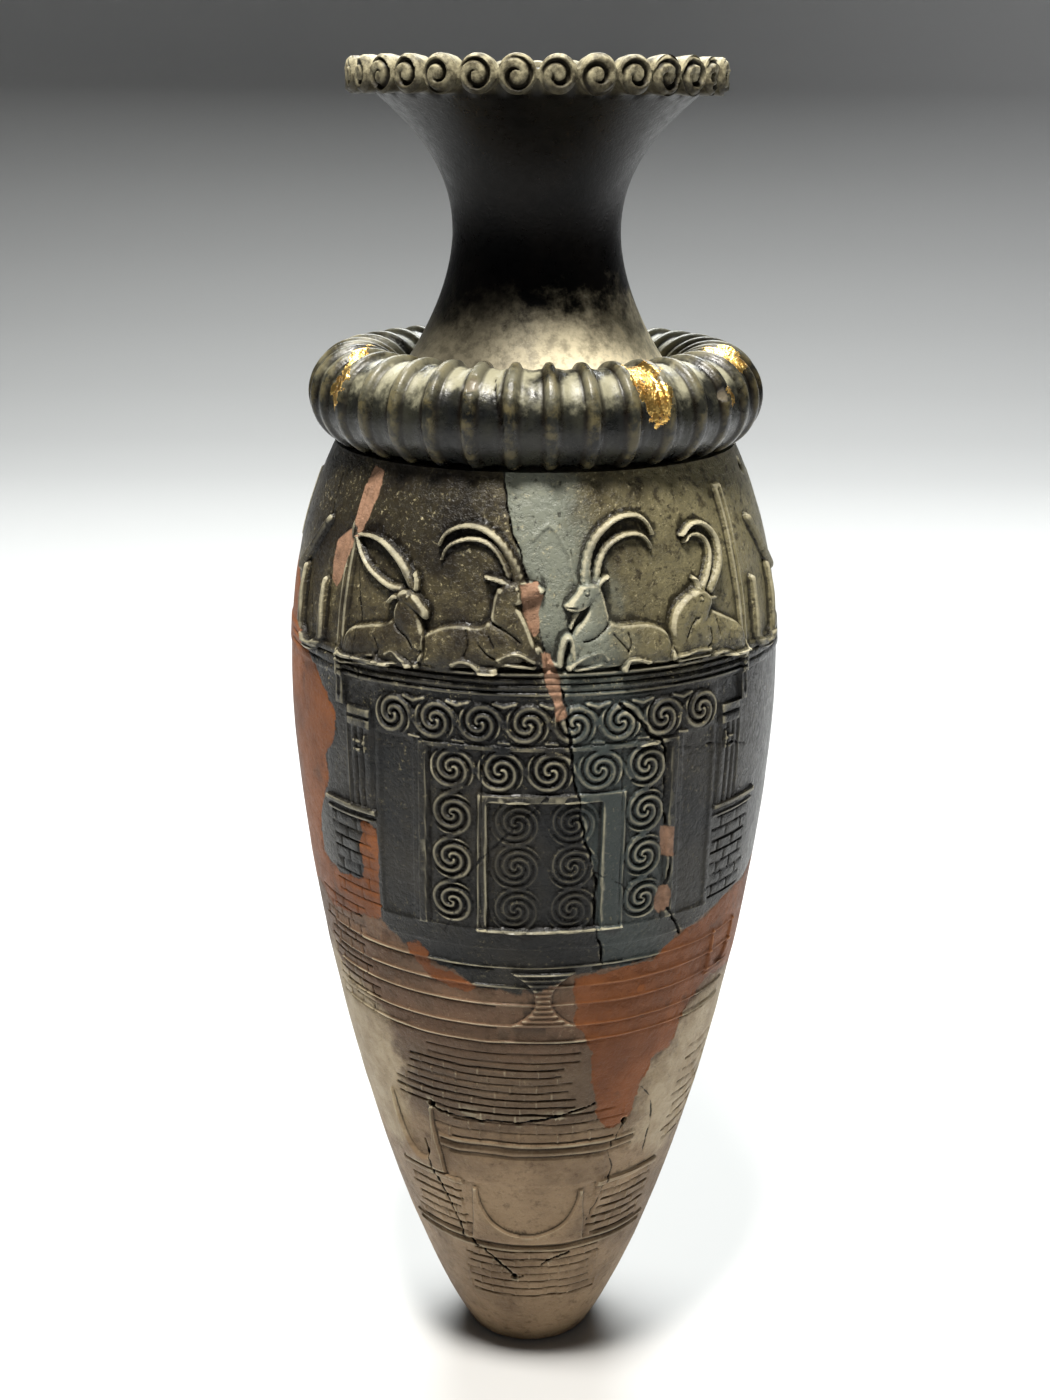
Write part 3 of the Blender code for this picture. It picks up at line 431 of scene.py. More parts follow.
RIGHT_GOAT = {
    "body": (
        (-6.8, 1.0), (-6.6, 4.0), (-4.8, 7.6), (-2.2, 9.6), (0.2, 10.3), (2.1, 10.5), (4.1, 9.6),
        (7.0, 9.5), (10.2, 9.4), (13.1, 8.5), (15.2, 6.8), (15.9, 4.2), (16.1, 0.3), (8.2, 0.6),
        (-0.7, 0.3),
    ),
    "neck": (
        (2.1, 10.3), (1.8, 12.8), (1.3, 15.1), (0.6, 16.8), (-1.1, 17.2), (-2.3, 15.3),
        (-2.6, 12.9), (-3.6, 10.9), (-5.2, 9.1), (-6.3, 6.9), (-6.2, 3.5), (-3.2, 3.8), (-0.1, 7.0),
    ),
    "head": (
        (0.6, 16.3), (0.0, 18.0), (-2.1, 18.5), (-3.8, 17.8), (-5.0, 16.2), (-6.5, 14.6),
        (-7.2, 13.8), (-6.6, 12.8), (-5.2, 12.4), (-3.3, 12.7), (-1.5, 14.0),
    ),
    "haunch": (
        (15.8, 0.6), (15.9, 3.7), (15.2, 5.9), (12.5, 7.3), (9.9, 7.8), (8.0, 7.0), (7.3, 4.9),
        (7.7, 2.0), (10.5, 0.8),
    ),
    "ear": ((-0.5, 17.2), (0.7, 18.6), (2.1, 19.3)),
    "beard": ((-4.6, 12.3), (-5.3, 10.9), (-6.0, 9.1)),
    "outer_horn": (
        (-2.3, 18.1), (-2.3, 20.9), (-1.6, 24.1), (-0.1, 26.8), (1.9, 28.8), (4.3, 30.4),
        (6.8, 31.1), (9.4, 30.9), (11.3, 29.5), (12.6, 27.0),
    ),
    "inner_horn": (
        (-0.4, 18.2), (0.3, 21.4), (1.4, 23.9), (3.0, 25.6), (5.2, 26.8), (7.7, 27.3), (10.0, 26.9),
        (11.5, 25.7), (12.3, 24.3),
    ),
    "hindleg": ((10.5, 1.4), (8.4, 2.1), (6.1, 2.1), (5.2, 0.5)),
    "knee": ((-8.3, 1.7), (-8.0, 4.4), (-7.3, 6.9), (-6.3, 7.3), (-5.5, 5.8), (-5.3, 2.9)),
    "foreleg": ((-6.4, 1.0), (-4.9, 2.4), (-2.4, 3.6), (0.2, 4.0), (1.5, 2.7)),
    "lower_foreleg": ((-5.0, 0.7), (-2.0, 1.0), (0.6, 1.7), (1.9, 2.0)),
    "foot": ((-9.9, 1.7), (-8.7, 1.7)),
    "eye": ((-2.6, 16.5),),
    "cut_1": ((1.9, 9.7), (0.3, 8.2), (-1.4, 7.0), (-3.6, 6.5)),
    "cut_2": ((2.9, 7.6), (4.4, 5.8), (5.9, 4.0)),
    "cut_3": ((6.0, 7.8), (6.4, 5.6), (5.7, 3.6)),
    "cut_4": ((-6.6, 13.6), (-4.7, 13.4)),
}
TURN_GOAT = {
    "body": (
        (-9.3, 0.7), (-9.6, 4.2), (-9.1, 7.5), (-6.7, 10.2), (-2.2, 11.0), (0.7, 10.6), (3.6, 9.4),
        (7.1, 7.8), (10.5, 6.0), (12.2, 3.7), (12.2, -1.4), (1.4, -0.1),
    ),
    "neck": (
        (-9.4, 6.3), (-9.1, 9.2), (-8.1, 11.4), (-6.2, 13.2), (-3.9, 14.4), (-1.0, 14.6),
        (1.1, 13.2), (-0.5, 10.5), (-2.8, 9.0), (-4.7, 6.9), (-5.8, 3.7), (-7.9, 2.7),
    ),
    "head": (
        (-3.9, 14.2), (-1.2, 15.1), (1.2, 13.8), (1.8, 11.9), (0.6, 9.9), (-0.6, 8.0), (-2.2, 7.0),
        (-3.7, 8.0), (-3.7, 10.4),
    ),
    "haunch": (
        (11.4, -1.2), (12.1, 3.1), (10.8, 5.3), (7.9, 6.5), (5.4, 5.7), (4.2, 3.3), (5.3, 0.5),
    ),
    "ear": ((-1.3, 14.7), (-1.3, 15.9), (-1.7, 17.0)),
    "other_ear": ((1.0, 12.8), (2.2, 12.4), (3.5, 12.4)),
    "outer_horn": (
        (2.5, 14.3), (4.7, 16.7), (6.4, 19.4), (6.8, 22.0), (6.3, 24.6), (4.7, 26.7), (2.3, 28.0),
        (-0.5, 27.8), (-3.1, 26.1),
    ),
    "inner_horn": (
        (0.4, 14.6), (2.2, 17.3), (3.5, 20.0), (3.9, 22.4), (3.0, 24.6), (1.1, 25.7), (-0.9, 25.8),
        (-2.4, 24.7),
    ),
    "foreleg": ((-8.5, 1.7), (-5.9, 1.9), (-3.1, 2.4), (0.0, 2.1)),
    "lower_foreleg": ((-7.5, 0.7), (-3.8, 0.8), (0.3, 0.7)),
    "hindleg": ((1.8, 0.7), (4.0, 0.9), (7.0, -0.1)),
    "foot": ((8.4, -0.6), (11.4, -1.0)),
    "eye": ((-1.6, 13.0),),
    "cut_1": ((-5.9, 5.4), (-4.6, 7.7), (-2.7, 9.2)),
    "cut_2": ((0.2, 6.6), (0.8, 3.9), (-0.5, 2.4)),
    "cut_3": ((2.4, 7.9), (3.1, 4.8)),
}
GOATS = ((-38.0, LEFT_GOAT), (-17.0, MID_GOAT), (14.0, RIGHT_GOAT), (40.0, TURN_GOAT))
# Outline: how far it stands out, how wide its edge is and how much its middle swells, in mm
GOAT_FORMS = (
    ("body", 1.6, 0.9, 1.3),
    ("haunch", 2.3, 0.9, 1.0),
    ("neck", 2.2, 0.9, 0.9),
    ("head", 2.7, 0.9, 0.5),
)
# Stroke: its half width at the start and at the end, and how far it stands out
GOAT_STROKES = {
    "ear": (0.9, 0.4, 2.5),
    "other_ear": (0.75, 0.4, 2.1),
    "outer_horn": (1.2, 0.4, 2.1),
    "inner_horn": (0.9, 0.3, 1.7),
    "beard": (0.65, 0.35, 1.6),
    "hindleg": (0.9, 0.95, 3.3),
    "foot": (0.7, 0.65, 2.4),
    "foreleg": (0.8, 0.9, 3.3),
    "lower_foreleg": (0.7, 0.7, 2.7),
    "knee": (0.85, 0.85, 2.9),
}


def carve_goat(carving, angle, goat):
    """One lying goat: swelling outlines laid over each other, strokes for its limbs and ridged
    horns, cut lines for its muscles and a ringed eye."""
    carving.settle()
    for part, amount, edge, swell in GOAT_FORMS:
        carving.form(angle, GOAT_LEDGE, smooth_line(goat[part], closed=True), amount, edge, swell)
    for part, (start, end, amount) in GOAT_STROKES.items():
        if part not in goat:
            continue
        path = smooth_line(goat[part])
        share = np.linspace(0.0, 1.0, len(path))
        thick = start + (end - start) * share
        if "horn" in part:
            thick = thick * (1.0 + 0.13 * (1 - share) * np.sin(share * 95.0))
        carving.limb(angle, GOAT_LEDGE, np.column_stack([path, thick]), amount)
    for part in goat:
        if part.startswith("cut"):
            carving.groove(angle, GOAT_LEDGE, smooth_line(goat[part]))
    eye = goat["eye"][0]
    area, across, up = carving.window(angle, GOAT_LEDGE + eye[1], abs(eye[0]) + 2.0, 1.6)
    gap = np.hypot(across - eye[0], up)
    ring = inside(np.abs(gap - 0.62) - 0.10, 0.3)
    carving.relief[area] += 0.3 * inside(gap - 0.25, 0.3) - 0.5 * ring


def polyline_gap(across, up, points):
    """Distance from each place to the nearest part of a line through points."""
    gap = np.full(np.shape(across), 1e9)
    for start, end in zip(points[:-1], points[1:]):
        gap = np.minimum(gap, nearest_part(across, up, start, end)[1])
    return gap


def polygon_depth(across, up, points):
    """Signed distance to a closed outline, positive inside: the gap to its edges, with the sign
    from how often a level ray to the right crosses them."""
    closed = np.array(list(points) + [points[0]], float)
    gap = polyline_gap(across, up, closed)
    crossings = np.zeros(np.shape(across), int)
    for (x0, y0), (x1, y1) in zip(closed[:-1], closed[1:]):
        if y0 == y1:
            continue
        between = (up >= min(y0, y1)) & (up < max(y0, y1))
        crossings += between & (across < x0 + (up - y0) / (y1 - y0) * (x1 - x0))
    return np.where(crossings % 2 == 1, gap, -gap)


def carve_cornice(carving):
    """The roof ledge that the goats lie on, a stack of rolls, and a plainer one round the back."""
    middle = 0.5 * (GOAT_LEDGE + CORNICE_BOTTOM)
    depth = GOAT_LEDGE - CORNICE_BOTTOM
    carving.line(-180.0, 180.0, middle, depth, 0.5)
    carving.line(GROUND_LEFT, GROUND_RIGHT, middle, depth, 0.55)
    carving.line(GROUND_LEFT, GROUND_RIGHT, GOAT_LEDGE - 0.35, 0.7, 0.35)
    for level in (187.0, 185.5, 184.0, 182.7):
        carving.line(GROUND_LEFT, GROUND_RIGHT, level, 0.42, -0.6, 0.3)
    for first, last in ((-76.0, GROUND_LEFT - 2.0), (GROUND_RIGHT + 2.0, 80.0)):
        for level in (186.4, 184.2):
            carving.line(first, last, level, 0.4, -0.4, 0.3)


def carve_shrine(carving):
    """The front of the shrine: frieze, side pilasters, spiral band and the panelled door."""
    turn = SHRINE_ANGLE
    inner = SHRINE_HALF - 1.5
    outer = PANEL_HALF + 1.5
    inset = PANEL_HALF - PANEL_BORDER
    blocks = (
        (-SHRINE_HALF, SHRINE_HALF, SHRINE_BOTTOM, CORNICE_BOTTOM, 0.4),
        (-inner, -outer, SILL, FRIEZE_BOTTOM, -0.35),
        (outer, inner, SILL, FRIEZE_BOTTOM, -0.35),
        (-PANEL_HALF, PANEL_HALF, SILL, FRIEZE_BOTTOM, 0.65),
        (-inset, inset, SILL, FRIEZE_BOTTOM - 1.2, -0.75),
        (JAMB_LEFT, JAMB_RIGHT, SILL, DOOR_BAND_BOTTOM, 0.9),
        (LEAF_LEFT, LEAF_RIGHT, SILL, DOOR_BAND_BOTTOM - PANEL_BORDER, -1.3),
        (JAMB_LEFT, JAMB_RIGHT, SILL - 0.6, SILL + 0.4, 1.0),
        (-SHRINE_HALF, SHRINE_HALF, SHRINE_BOTTOM - 0.4, SHRINE_BOTTOM, 0.45),
        (-SHRINE_HALF, SHRINE_HALF, SILL - 0.2, SILL + 0.2, 0.3),
    )
    for left, right, bottom, top, amount in blocks:
        carving.block(turn, left, right, bottom, top, amount)
    for place in (-inset + 0.6, inset - 0.6, JAMB_LEFT + 0.9, JAMB_RIGHT - 0.9):
        carving.block(turn, place - 0.18, place + 0.18, SILL, FRIEZE_BOTTOM - 1.0, -0.3, 0.25)
    frieze = [((number - 3.5) * FRIEZE_PITCH, FRIEZE_CENTRE) for number in range(8)]
    running_spirals(carving, turn, frieze, 4.05, 2.1, 0.95, 0.55)
    for number in range(7):
        place = turn + np.degrees((number - 3.0) * FRIEZE_PITCH / 56.7)
        dip = [(-2.3, 4.3, 0.5), (0.0, 3.6, 0.6), (2.3, 4.3, 0.5)]
        carving.limb(place, FRIEZE_CENTRE, dip, 0.8)
        carving.limb(place, FRIEZE_CENTRE, [(-1.0, -4.1, 0.5), (1.3, -4.3, 0.4)], 0.6)
    side = 2 * BAND_PITCH
    band = 0.5 * (FRIEZE_BOTTOM + DOOR_BAND_BOTTOM) - 0.2
    places = [(-side, band - step * BAND_PITCH) for step in (3, 2, 1)]
    places += [(step * BAND_PITCH, band) for step in (-2, -1, 0, 1, 2)]
    places += [(side, band - step * BAND_PITCH) for step in (1, 2, 3)]
    running_spirals(carving, turn, places, 4.5, 2.4, 0.85, 0.48)
    centre = 0.5 * (LEAF_LEFT + LEAF_RIGHT)
    top = 0.5 * (SILL + DOOR_BAND_BOTTOM) + 9.5
    for side in (-1, 1):
        leaf = [(centre + side * 6.1, top - step * LEAF_PITCH) for step in range(3)]
        running_spirals(carving, turn, leaf, 5.2, 3.1, 0.5, 0.42)


def carve_wing(carving, angle, side):
    """A lower wing of the shrine beside its front: ledges, a pier with its capital, a block wall."""
    blocks = (
        (0.0, 17.0, 152.0, 153.2, 1.0),
        (0.0, 17.0, 150.0, 150.8, 0.5),
        (0.5, 6.5, 153.2, 172.0, 0.4),
        (2.6, 3.3, 153.4, 172.0, -0.45),
        (4.6, 5.2, 153.4, 172.0, -0.45),
        (0.5, 7.2, 172.0, 176.5, 0.9),
        (0.5, 7.2, 173.9, 174.5, -0.6),
        (1.6, 5.4, 168.4, 169.0, 0.6),
        (1.6, 2.2, 166.4, 170.4, 0.6),
        (3.4, 5.4, 166.4, 167.0, 0.6),
        (7.4, 8.0, 153.2, 176.0, 0.4),
    )
    for near, far, bottom, top, amount in blocks:
        left, right = sorted((side * near, side * far))
        carving.block(angle, left, right, bottom, top, amount, 0.35)
    left, right = sorted((side * 0.4, side * 17.0))
    masonry(carving, angle, left, right, 129.6, 149.6, 2.9, 6.4, 0.5, seed=3 + side)


def carve_horns(carving, angle, base, half, height, amount):
    """Stone bull's horns on a wall: a flat block with a rounded hollow between two points."""
    area, across, up = carving.window(angle, base + 0.5 * height, half + 3, height)
    up = up + 0.5 * height
    reach = np.hypot(across / (0.93 * half), (up - height) / (0.86 * height))
    hollow = (1.0 - reach) * min(half, height)
    outer = np.maximum(np.abs(across) - half, np.abs(up - 0.5 * height) - 0.5 * height)
    carving.relief[area] += amount * inside(np.maximum(outer, hollow), 0.6)


def carve_altar(carving):
    """A small waisted altar with a stepped foot on the steps below the door."""
    area, across, up = carving.window(3.0, 111.0, 9.0, 9.0)
    half = 1.7 + 5.4 * (np.abs(up) / 7.0) ** 2.2
    distance = np.maximum(np.abs(across) - half, np.abs(up) - 7.0)
    shape = inside(distance, 0.7)
    steps = 0.22 * np.cos(2 * np.pi * up / 1.35)
    carving.relief[area] = np.maximum(carving.relief[area], (0.85 + steps) * shape)


def carve_lower(carving):
    """Steps, altar, block walls, panels and the large horns under the shrine."""
    for level in (119.4, 114.3, 109.6, 103.8, 99.5):
        carving.line(-62.0, 66.0, level, 0.6, 0.5, 0.35)
        carving.line(-62.0, 66.0, level - 0.7, 0.6, -0.35, 0.4)
    carve_altar(carving)
    for level in (96.0, 93.6):
        carving.line(-31.0, 14.0, level, 0.5, -0.4, 0.4)
    walls = (
        (-7.0, -30.0, 17.0, 78.6, 91.6, 2.2, 7.5, 0.6, 0.45, 11, 0.3),
        (-1.0, -23.0, 27.0, 70.4, 78.6, 2.8, 8.5, 0.55, 0.45, 15, 0.35),
        (-55.0, -12.0, 9.0, 99.0, 127.0, 2.6, 5.0, 0.5, 0.38, 12),
        (64.0, -9.0, 9.0, 62.0, 88.0, 3.1, 7.0, 0.5, 0.38, 13, 0.3),
    )
    for wall in walls:
        masonry(carving, *wall)
    for level, amount in ((69.4, 0.45), (68.3, -0.55), (66.9, 0.35), (65.9, -0.35)):
        carving.line(-31.0, 37.0, level, 0.9, amount, 0.5)
    carving.block(-1.0, -19.0, 19.0, 57.0, 65.6, 0.35, 1.2)
    carve_horns(carving, -1.0, 38.8, 13.3, 16.3, 1.1)
    carve_horns(carving, -41.0, 57.5, 6.4, 20.0, 1.2)
    carve_horns(carving, 59.0, 108.0, 5.0, 12.0, 1.0)
    for side, angle in ((-1, -38.0), (1, 38.0)):
        left, right = sorted((side * -8.5, side * 10.0))
        masonry(carving, angle, left, right, 39.6, 55.4, 2.5, 5.5, 0.65, 0.45, 20 + side, 0.25)
        carving.block(angle, left, right, 55.4, 57.0, 0.9, 0.6)
        carving.block(-1.0 + side * 27.5, -0.8, 0.8, 39.0, 58.0, 0.3, 0.6)
    for level, amount in ((38.4, 0.6), (37.1, -0.55), (35.9, 0.45)):
        carving.line(-60.0, 60.0, level, 0.9, amount, 0.5)
    masonry(carving, 0.0, -19.0, 19.0, 19.0, 35.0, 2.7, 6.5, 0.6, 0.45, 14, 0.3)


def carve_back(carving):
    """The unseen side, plainer: poles between bays, each a ledge over a sunk wall panel."""
    for angle in (-137.0, -92.0, 97.0, 142.0):
        carving.block(angle, -0.9, 0.9, 100.0, 221.0, 0.7)
    for angle in (-115.0, 120.0, 180.0):
        carve_horns(carving, angle, GOAT_LEDGE, 7.0, 10.5, 1.2)
        carving.block(angle, -18.0, 18.0, 150.0, 153.0, 0.9)
        carving.block(angle, -12.0, 12.0, 157.0, 176.0, -0.7)
        masonry(carving, angle, -16.0, 16.0, 126.0, 148.0, 3.2, 7.5, 0.4, 0.9, int(angle) % 7)


def carve_upper_sides(carving):
    """Poles at the ends of the roof, and the curled shapes beyond them."""
    for angle in (GROUND_LEFT, GROUND_RIGHT):
        carving.block(angle, -1.3, 1.3, 176.0, 223.0, 1.0)
        carving.block(angle, -0.25, 0.25, 178.0, 222.0, -0.6, 0.3)
    carving.settle()
    for angle, side in ((-61.0, -1), (66.0, 1)):
        arc = np.radians(np.linspace(180.0, 360.0, 13))
        points = [(5.4 * side * np.cos(a), 3.2 + 4.2 * np.sin(a), 1.2) for a in arc]
        points = [(-5.4 * side, 14.5, 0.8)] + points + [(5.4 * side, 15.5, 0.8)]
        carving.limb(angle, GOAT_LEDGE - 1.0, points, 1.7)
        bar = [(-3.0 * side, 26.0, 1.0), (2.0 * side, 19.5, 1.3), (7.5 * side, 14.0, 1.7)]
        carving.limb(angle + side * 2.0, GOAT_LEDGE, bar, 1.8)
    peak = [
        (-3.0, 27.0), (-1.5, 28.6), (0.2, 29.8), (1.6, 28.8), (2.5, 27.2), (4.5, 23.6), (4.6, 21.4),
        (6.0, 17.6),
    ]
    carving.limb(3.2, GOAT_LEDGE, [(x, y, 0.5) for x, y in peak], 0.4)


# Marks of age: (angle, height in mm) points along each
MAIN_CRACK = (
    (-8.5, 229.0), (-6.9, 222.3), (-5.2, 216.5), (-2.3, 209.6), (-0.1, 204.6), (0.6, 198.6),
    (2.5, 190.3),
    (6.8, 181.7), (7.7, 173.0), (8.6, 164.9), (10.4, 158.9), (11.5, 150.0), (14.3, 142.7),
    (15.0, 130.5), (17.8, 119.6),
)
DARK_CRACKS = (
    ((18.3, 181.0), (22.0, 177.7), (25.4, 174.0), (28.2, 172.1), (29.6, 168.9), (30.8, 151.9)),
    ((33.2, 144.0), (32.6, 137.1)),
    ((33.5, 131.5), (35.1, 129.7), (39.8, 122.9)),
    (
        (-33.0, 77.4), (-28.0, 76.4), (-18.0, 76.1), (-9.6, 76.8), (-3.0, 76.2), (8.6, 78.3),
        (19.5, 80.9),
    ),
    ((-30.0, 38.0), (-22.0, 35.0), (-17.5, 32.6), (-11.0, 28.4), (-7.5, 26.0), (-3.0, 26.6)),
    ((6.0, 30.4), (11.0, 32.6), (18.0, 34.0)),
    ((-38.5, 66.0), (-37.0, 58.0), (-34.5, 50.0), (-31.0, 42.0), (-30.0, 38.0)),
)
FINE_CRACKS = (
    ((29.6, 168.9), (34.0, 169.6), (38.1, 168.7), (46.0, 167.9), (55.9, 165.5)),
    (
        (8.2, 164.2), (3.4, 160.8), (-3.4, 154.1), (-12.1, 145.0), (-14.3, 142.2), (-16.8, 136.6),
        (-20.7, 127.5),
    ),
    ((14.5, 142.2), (20.6, 139.5), (24.8, 133.9)),
    ((-45.4, 210.4), (-41.6, 197.2), (-41.2, 179.8)),
    ((-62.0, 224.0), (-60.0, 212.0), (-64.0, 200.0), (-61.0, 190.0)),
    ((31.1, 73.9), (27.5, 66.0), (30.0, 58.0), (26.0, 50.0), (24.0, 44.0)),
    ((33.9, 83.7), (40.0, 79.0), (44.0, 70.0), (43.0, 60.0)),
    ((130.0, 226.0), (124.0, 200.0), (131.0, 170.0), (120.0, 140.0), (104.0, 118.0)),
    ((-160.0, 227.0), (-150.0, 190.0), (-163.0, 150.0), (-155.0, 120.0), (-130.0, 96.0)),
)
RED_FILLS = (
    (
        (-50.3, 173.5), (-58.0, 181.0), (-67.0, 190.0), (-76.0, 200.0), (-98.0, 206.0),
        (-117.0, 191.0),
        (-111.0, 166.0), (-120.0, 142.0), (-106.0, 119.0), (-88.0, 119.0), (-71.1, 126.7),
        (-62.5, 122.5),
        (-54.1, 123.5), (-45.5, 125.4), (-39.0, 126.2), (-38.2, 138.0), (-38.1, 148.6),
        (-42.8, 149.5),
        (-44.9, 134.5), (-53.8, 133.8), (-62.6, 136.0), (-61.3, 145.9), (-57.2, 152.3),
        (-55.0, 155.3),
        (-54.2, 163.3), (-49.3, 168.3),
    ),
    (
        (10.6, 116.8), (16.6, 117.2), (31.6, 118.2), (39.5, 123.0), (49.2, 125.2), (59.2, 128.4),
        (68.7, 129.0),
        (82.0, 133.0), (98.0, 127.0), (108.0, 112.0), (98.0, 97.0), (83.0, 103.0), (70.0, 105.0),
        (57.4, 106.7),
        (52.8, 105.3), (45.9, 100.3), (44.4, 92.3), (37.5, 89.9), (33.9, 83.7), (33.0, 75.0),
        (27.0, 72.4),
        (21.9, 74.9), (20.3, 79.6), (18.3, 87.2), (15.8, 98.6), (11.5, 104.5),
    ),
    (
        (-32.8, 121.8), (-29.0, 123.0), (-26.4, 121.0), (-26.4, 116.6), (-20.0, 116.6),
        (-13.6, 113.6),
        (-16.0, 112.2), (-24.2, 113.4), (-30.0, 117.2),
    ),
)
PINK_FILLS = (
    (
        (-3.0, 206.4), (0.6, 206.8), (2.0, 203.8), (1.0, 200.0), (1.4, 196.6), (0.0, 195.6),
        (-1.2, 198.2), (-2.4, 201.4),
    ),
    (
        (1.2, 193.0), (3.4, 192.0), (5.4, 186.4), (6.2, 181.8), (7.6, 178.4), (4.9, 177.8),
        (4.4, 182.0), (2.4, 186.6),
    ),
    (
        (-48.2, 227.0), (-43.7, 226.0), (-43.4, 221.4), (-44.9, 216.5), (-46.0, 212.5),
        (-49.4, 216.4),
    ),
    (
        (-49.3, 213.6), (-47.4, 210.4), (-48.8, 205.9), (-51.6, 200.4), (-54.0, 202.2),
        (-54.8, 210.3),
    ),
    ((29.8, 151.6), (33.3, 150.9), (33.9, 144.1), (30.3, 144.5)),
    (
        (29.7, 134.6), (30.6, 137.0), (33.0, 137.2), (34.4, 134.6), (34.0, 131.2), (31.8, 130.2),
        (29.8, 131.8),
    ),
)
DARK_EDGE = (
    (-180.0, 131.0), (-120.0, 136.0), (-90.0, 130.0), (-71.0, 129.0), (-40.0, 125.7),
    (-32.3, 120.9), (-20.6, 117.9),
    (-13.9, 113.5), (1.8, 113.0), (10.6, 116.8), (31.6, 118.2), (39.5, 123.0), (59.2, 128.0),
    (100.0, 131.0), (180.0, 131.0),
)
PALE_AREAS = (
    (
        (34.5, 76.0), (34.4, 83.7), (38.0, 89.6), (44.8, 92.0), (46.4, 100.0), (53.0, 104.9),
        (58.0, 106.2),
        (76.0, 103.0), (86.0, 82.0), (74.0, 62.0), (52.0, 57.0), (38.0, 64.0),
    ),
    (
        (-72.0, 112.0), (-58.0, 108.0), (-44.0, 99.0), (-40.0, 84.0), (-44.0, 66.0), (-58.0, 58.0),
        (-80.0, 66.0), (-88.0, 92.0),
    ),
)
HOLES = ((76.1, 224.0, 1.5), (-7.5, 26.0, 0.7), (31.1, 73.9, 0.6), (-32.4, 78.2, 0.7))


def flat_place(angle, height, points):
    """Places and an outline's points as distances in mm: the angle times the wall's radius."""
    middle = np.mean([p[0] for p in points])
    turn = (angle - middle + 180.0) % 360.0 - 180.0
    across = np.radians(turn) * wall_mm(height)
    spread = [(np.radians(a - middle) * float(wall_mm(h)), h) for a, h in points]
    return across, spread


def line_gap(angle, height, line):
    """Distance in mm from each place to a crack's edge; its line wanders and its width varies."""
    across, spread = flat_place(angle, height, line)
    wander = 0.8 * rough_noise(across, height, 4.0, 71, 4)
    drift = 0.8 * rough_noise(across, height, 3.4, 77, 4)
    width = 0.22 * rough_noise(across, height, 2.6, 79, 2)
    return polyline_gap(across + wander, height + drift, spread) + width


def nearest_line(angle, height, lines):
    """Distance in mm from each place to the nearest of several cracks."""
    return np.min([line_gap(angle, height, line) for line in lines], axis=0)


def hole_gap(angle, height):
    """Distance in mm from each place to the edge of the nearest small hole, its edge uneven."""
    uneven = 0.3 * rough_noise(np.radians(angle) * WALL_REACH, height, 2.0, 33)
    wall = wall_mm(height)
    gaps = [np.hypot(np.radians(angle - a) * wall, height - h) - r - uneven for a, h, r in HOLES]
    return np.min(gaps, axis=0)


def area_depth(angle, height, areas):
    """How deep inside any of these outlines each place is, in mm; negative outside."""
    best = np.full(np.shape(height), -60.0)
    for outline in areas:
        across, spread = flat_place(angle, height, outline)
        best = np.maximum(best, polygon_depth(across, height, spread))
    return best


def blurred(field, cells):
    """Mean over a square that reaches so many cells each way, by running sums; columns wrap
    round the axis."""
    padded = np.pad(field, ((cells, cells), (0, 0)), mode="edge")
    padded = np.pad(padded, ((0, 0), (cells, cells)), mode="wrap")
    total = np.cumsum(np.cumsum(np.pad(padded, ((1, 0), (1, 0))), axis=0), axis=1)
    size = 2 * cells + 1
    upper = total[size:, size:] - total[:-size, size:]
    return (upper - total[size:, :-size] + total[:-size, :-size]) / (size * size)


# How deep the marks of age cut into the wall, in mm
SEAM_DEPTH = 0.12
CRACK_DEPTH = 0.9
HAIRLINE_DEPTH = 0.35
HOLE_DEPTH = 2.2


def body_relief(angles, heights):
    """The whole carving with its wear, fills, cracks and pits, in mm over the bare wall."""
    carving = Carving(angles, heights)
    carve_cornice(carving)
    carve_shrine(carving)
    for side in (-1, 1):
        carve_wing(carving, SHRINE_ANGLE + side * WING_TURN, side)
    carve_upper_sides(carving)
    for angle, goat in GOATS:
        carve_goat(carving, angle, goat)
    carve_back(carving)
    carve_lower(carving)
    relief = carving.relief

    angle = angles[None, :] + 0.0 * heights[:, None]
    height = heights[:, None] + 0.0 * angles[None, :]
    across = np.radians(angle) * WALL_REACH
    worn = 0.9 + 0.16 * rough_noise(across, height, 14.0, 5)
    relief = relief * worn
    fill = np.maximum(area_depth(angle, height, RED_FILLS), area_depth(angle, height, PINK_FILLS))
    relief = relief * (1.0 - 0.4 * inside(-fill, 1.2))
    relief = relief - SEAM_DEPTH * inside(np.abs(fill) - 0.2, 0.4)
    relief = relief + 0.12 * rough_noise(across, height, 9.0, 25, 2)

    main = line_gap(angle, height, MAIN_CRACK)
    dark = nearest_line(angle, height, DARK_CRACKS)
    fine = nearest_line(angle, height, FINE_CRACKS)
    pink = area_depth(angle, height, PINK_FILLS)
    open_crack = 1.0 - inside(-pink, 0.6)
    relief = relief - CRACK_DEPTH * open_crack * inside(main - 0.12, 0.4)
    relief = relief - CRACK_DEPTH * open_crack * inside(dark - 0.18, 0.4)
    relief = relief - HAIRLINE_DEPTH * inside(fine - 0.06, 0.35)
    return relief - HOLE_DEPTH * inside(hole_gap(angle, height), 0.9)


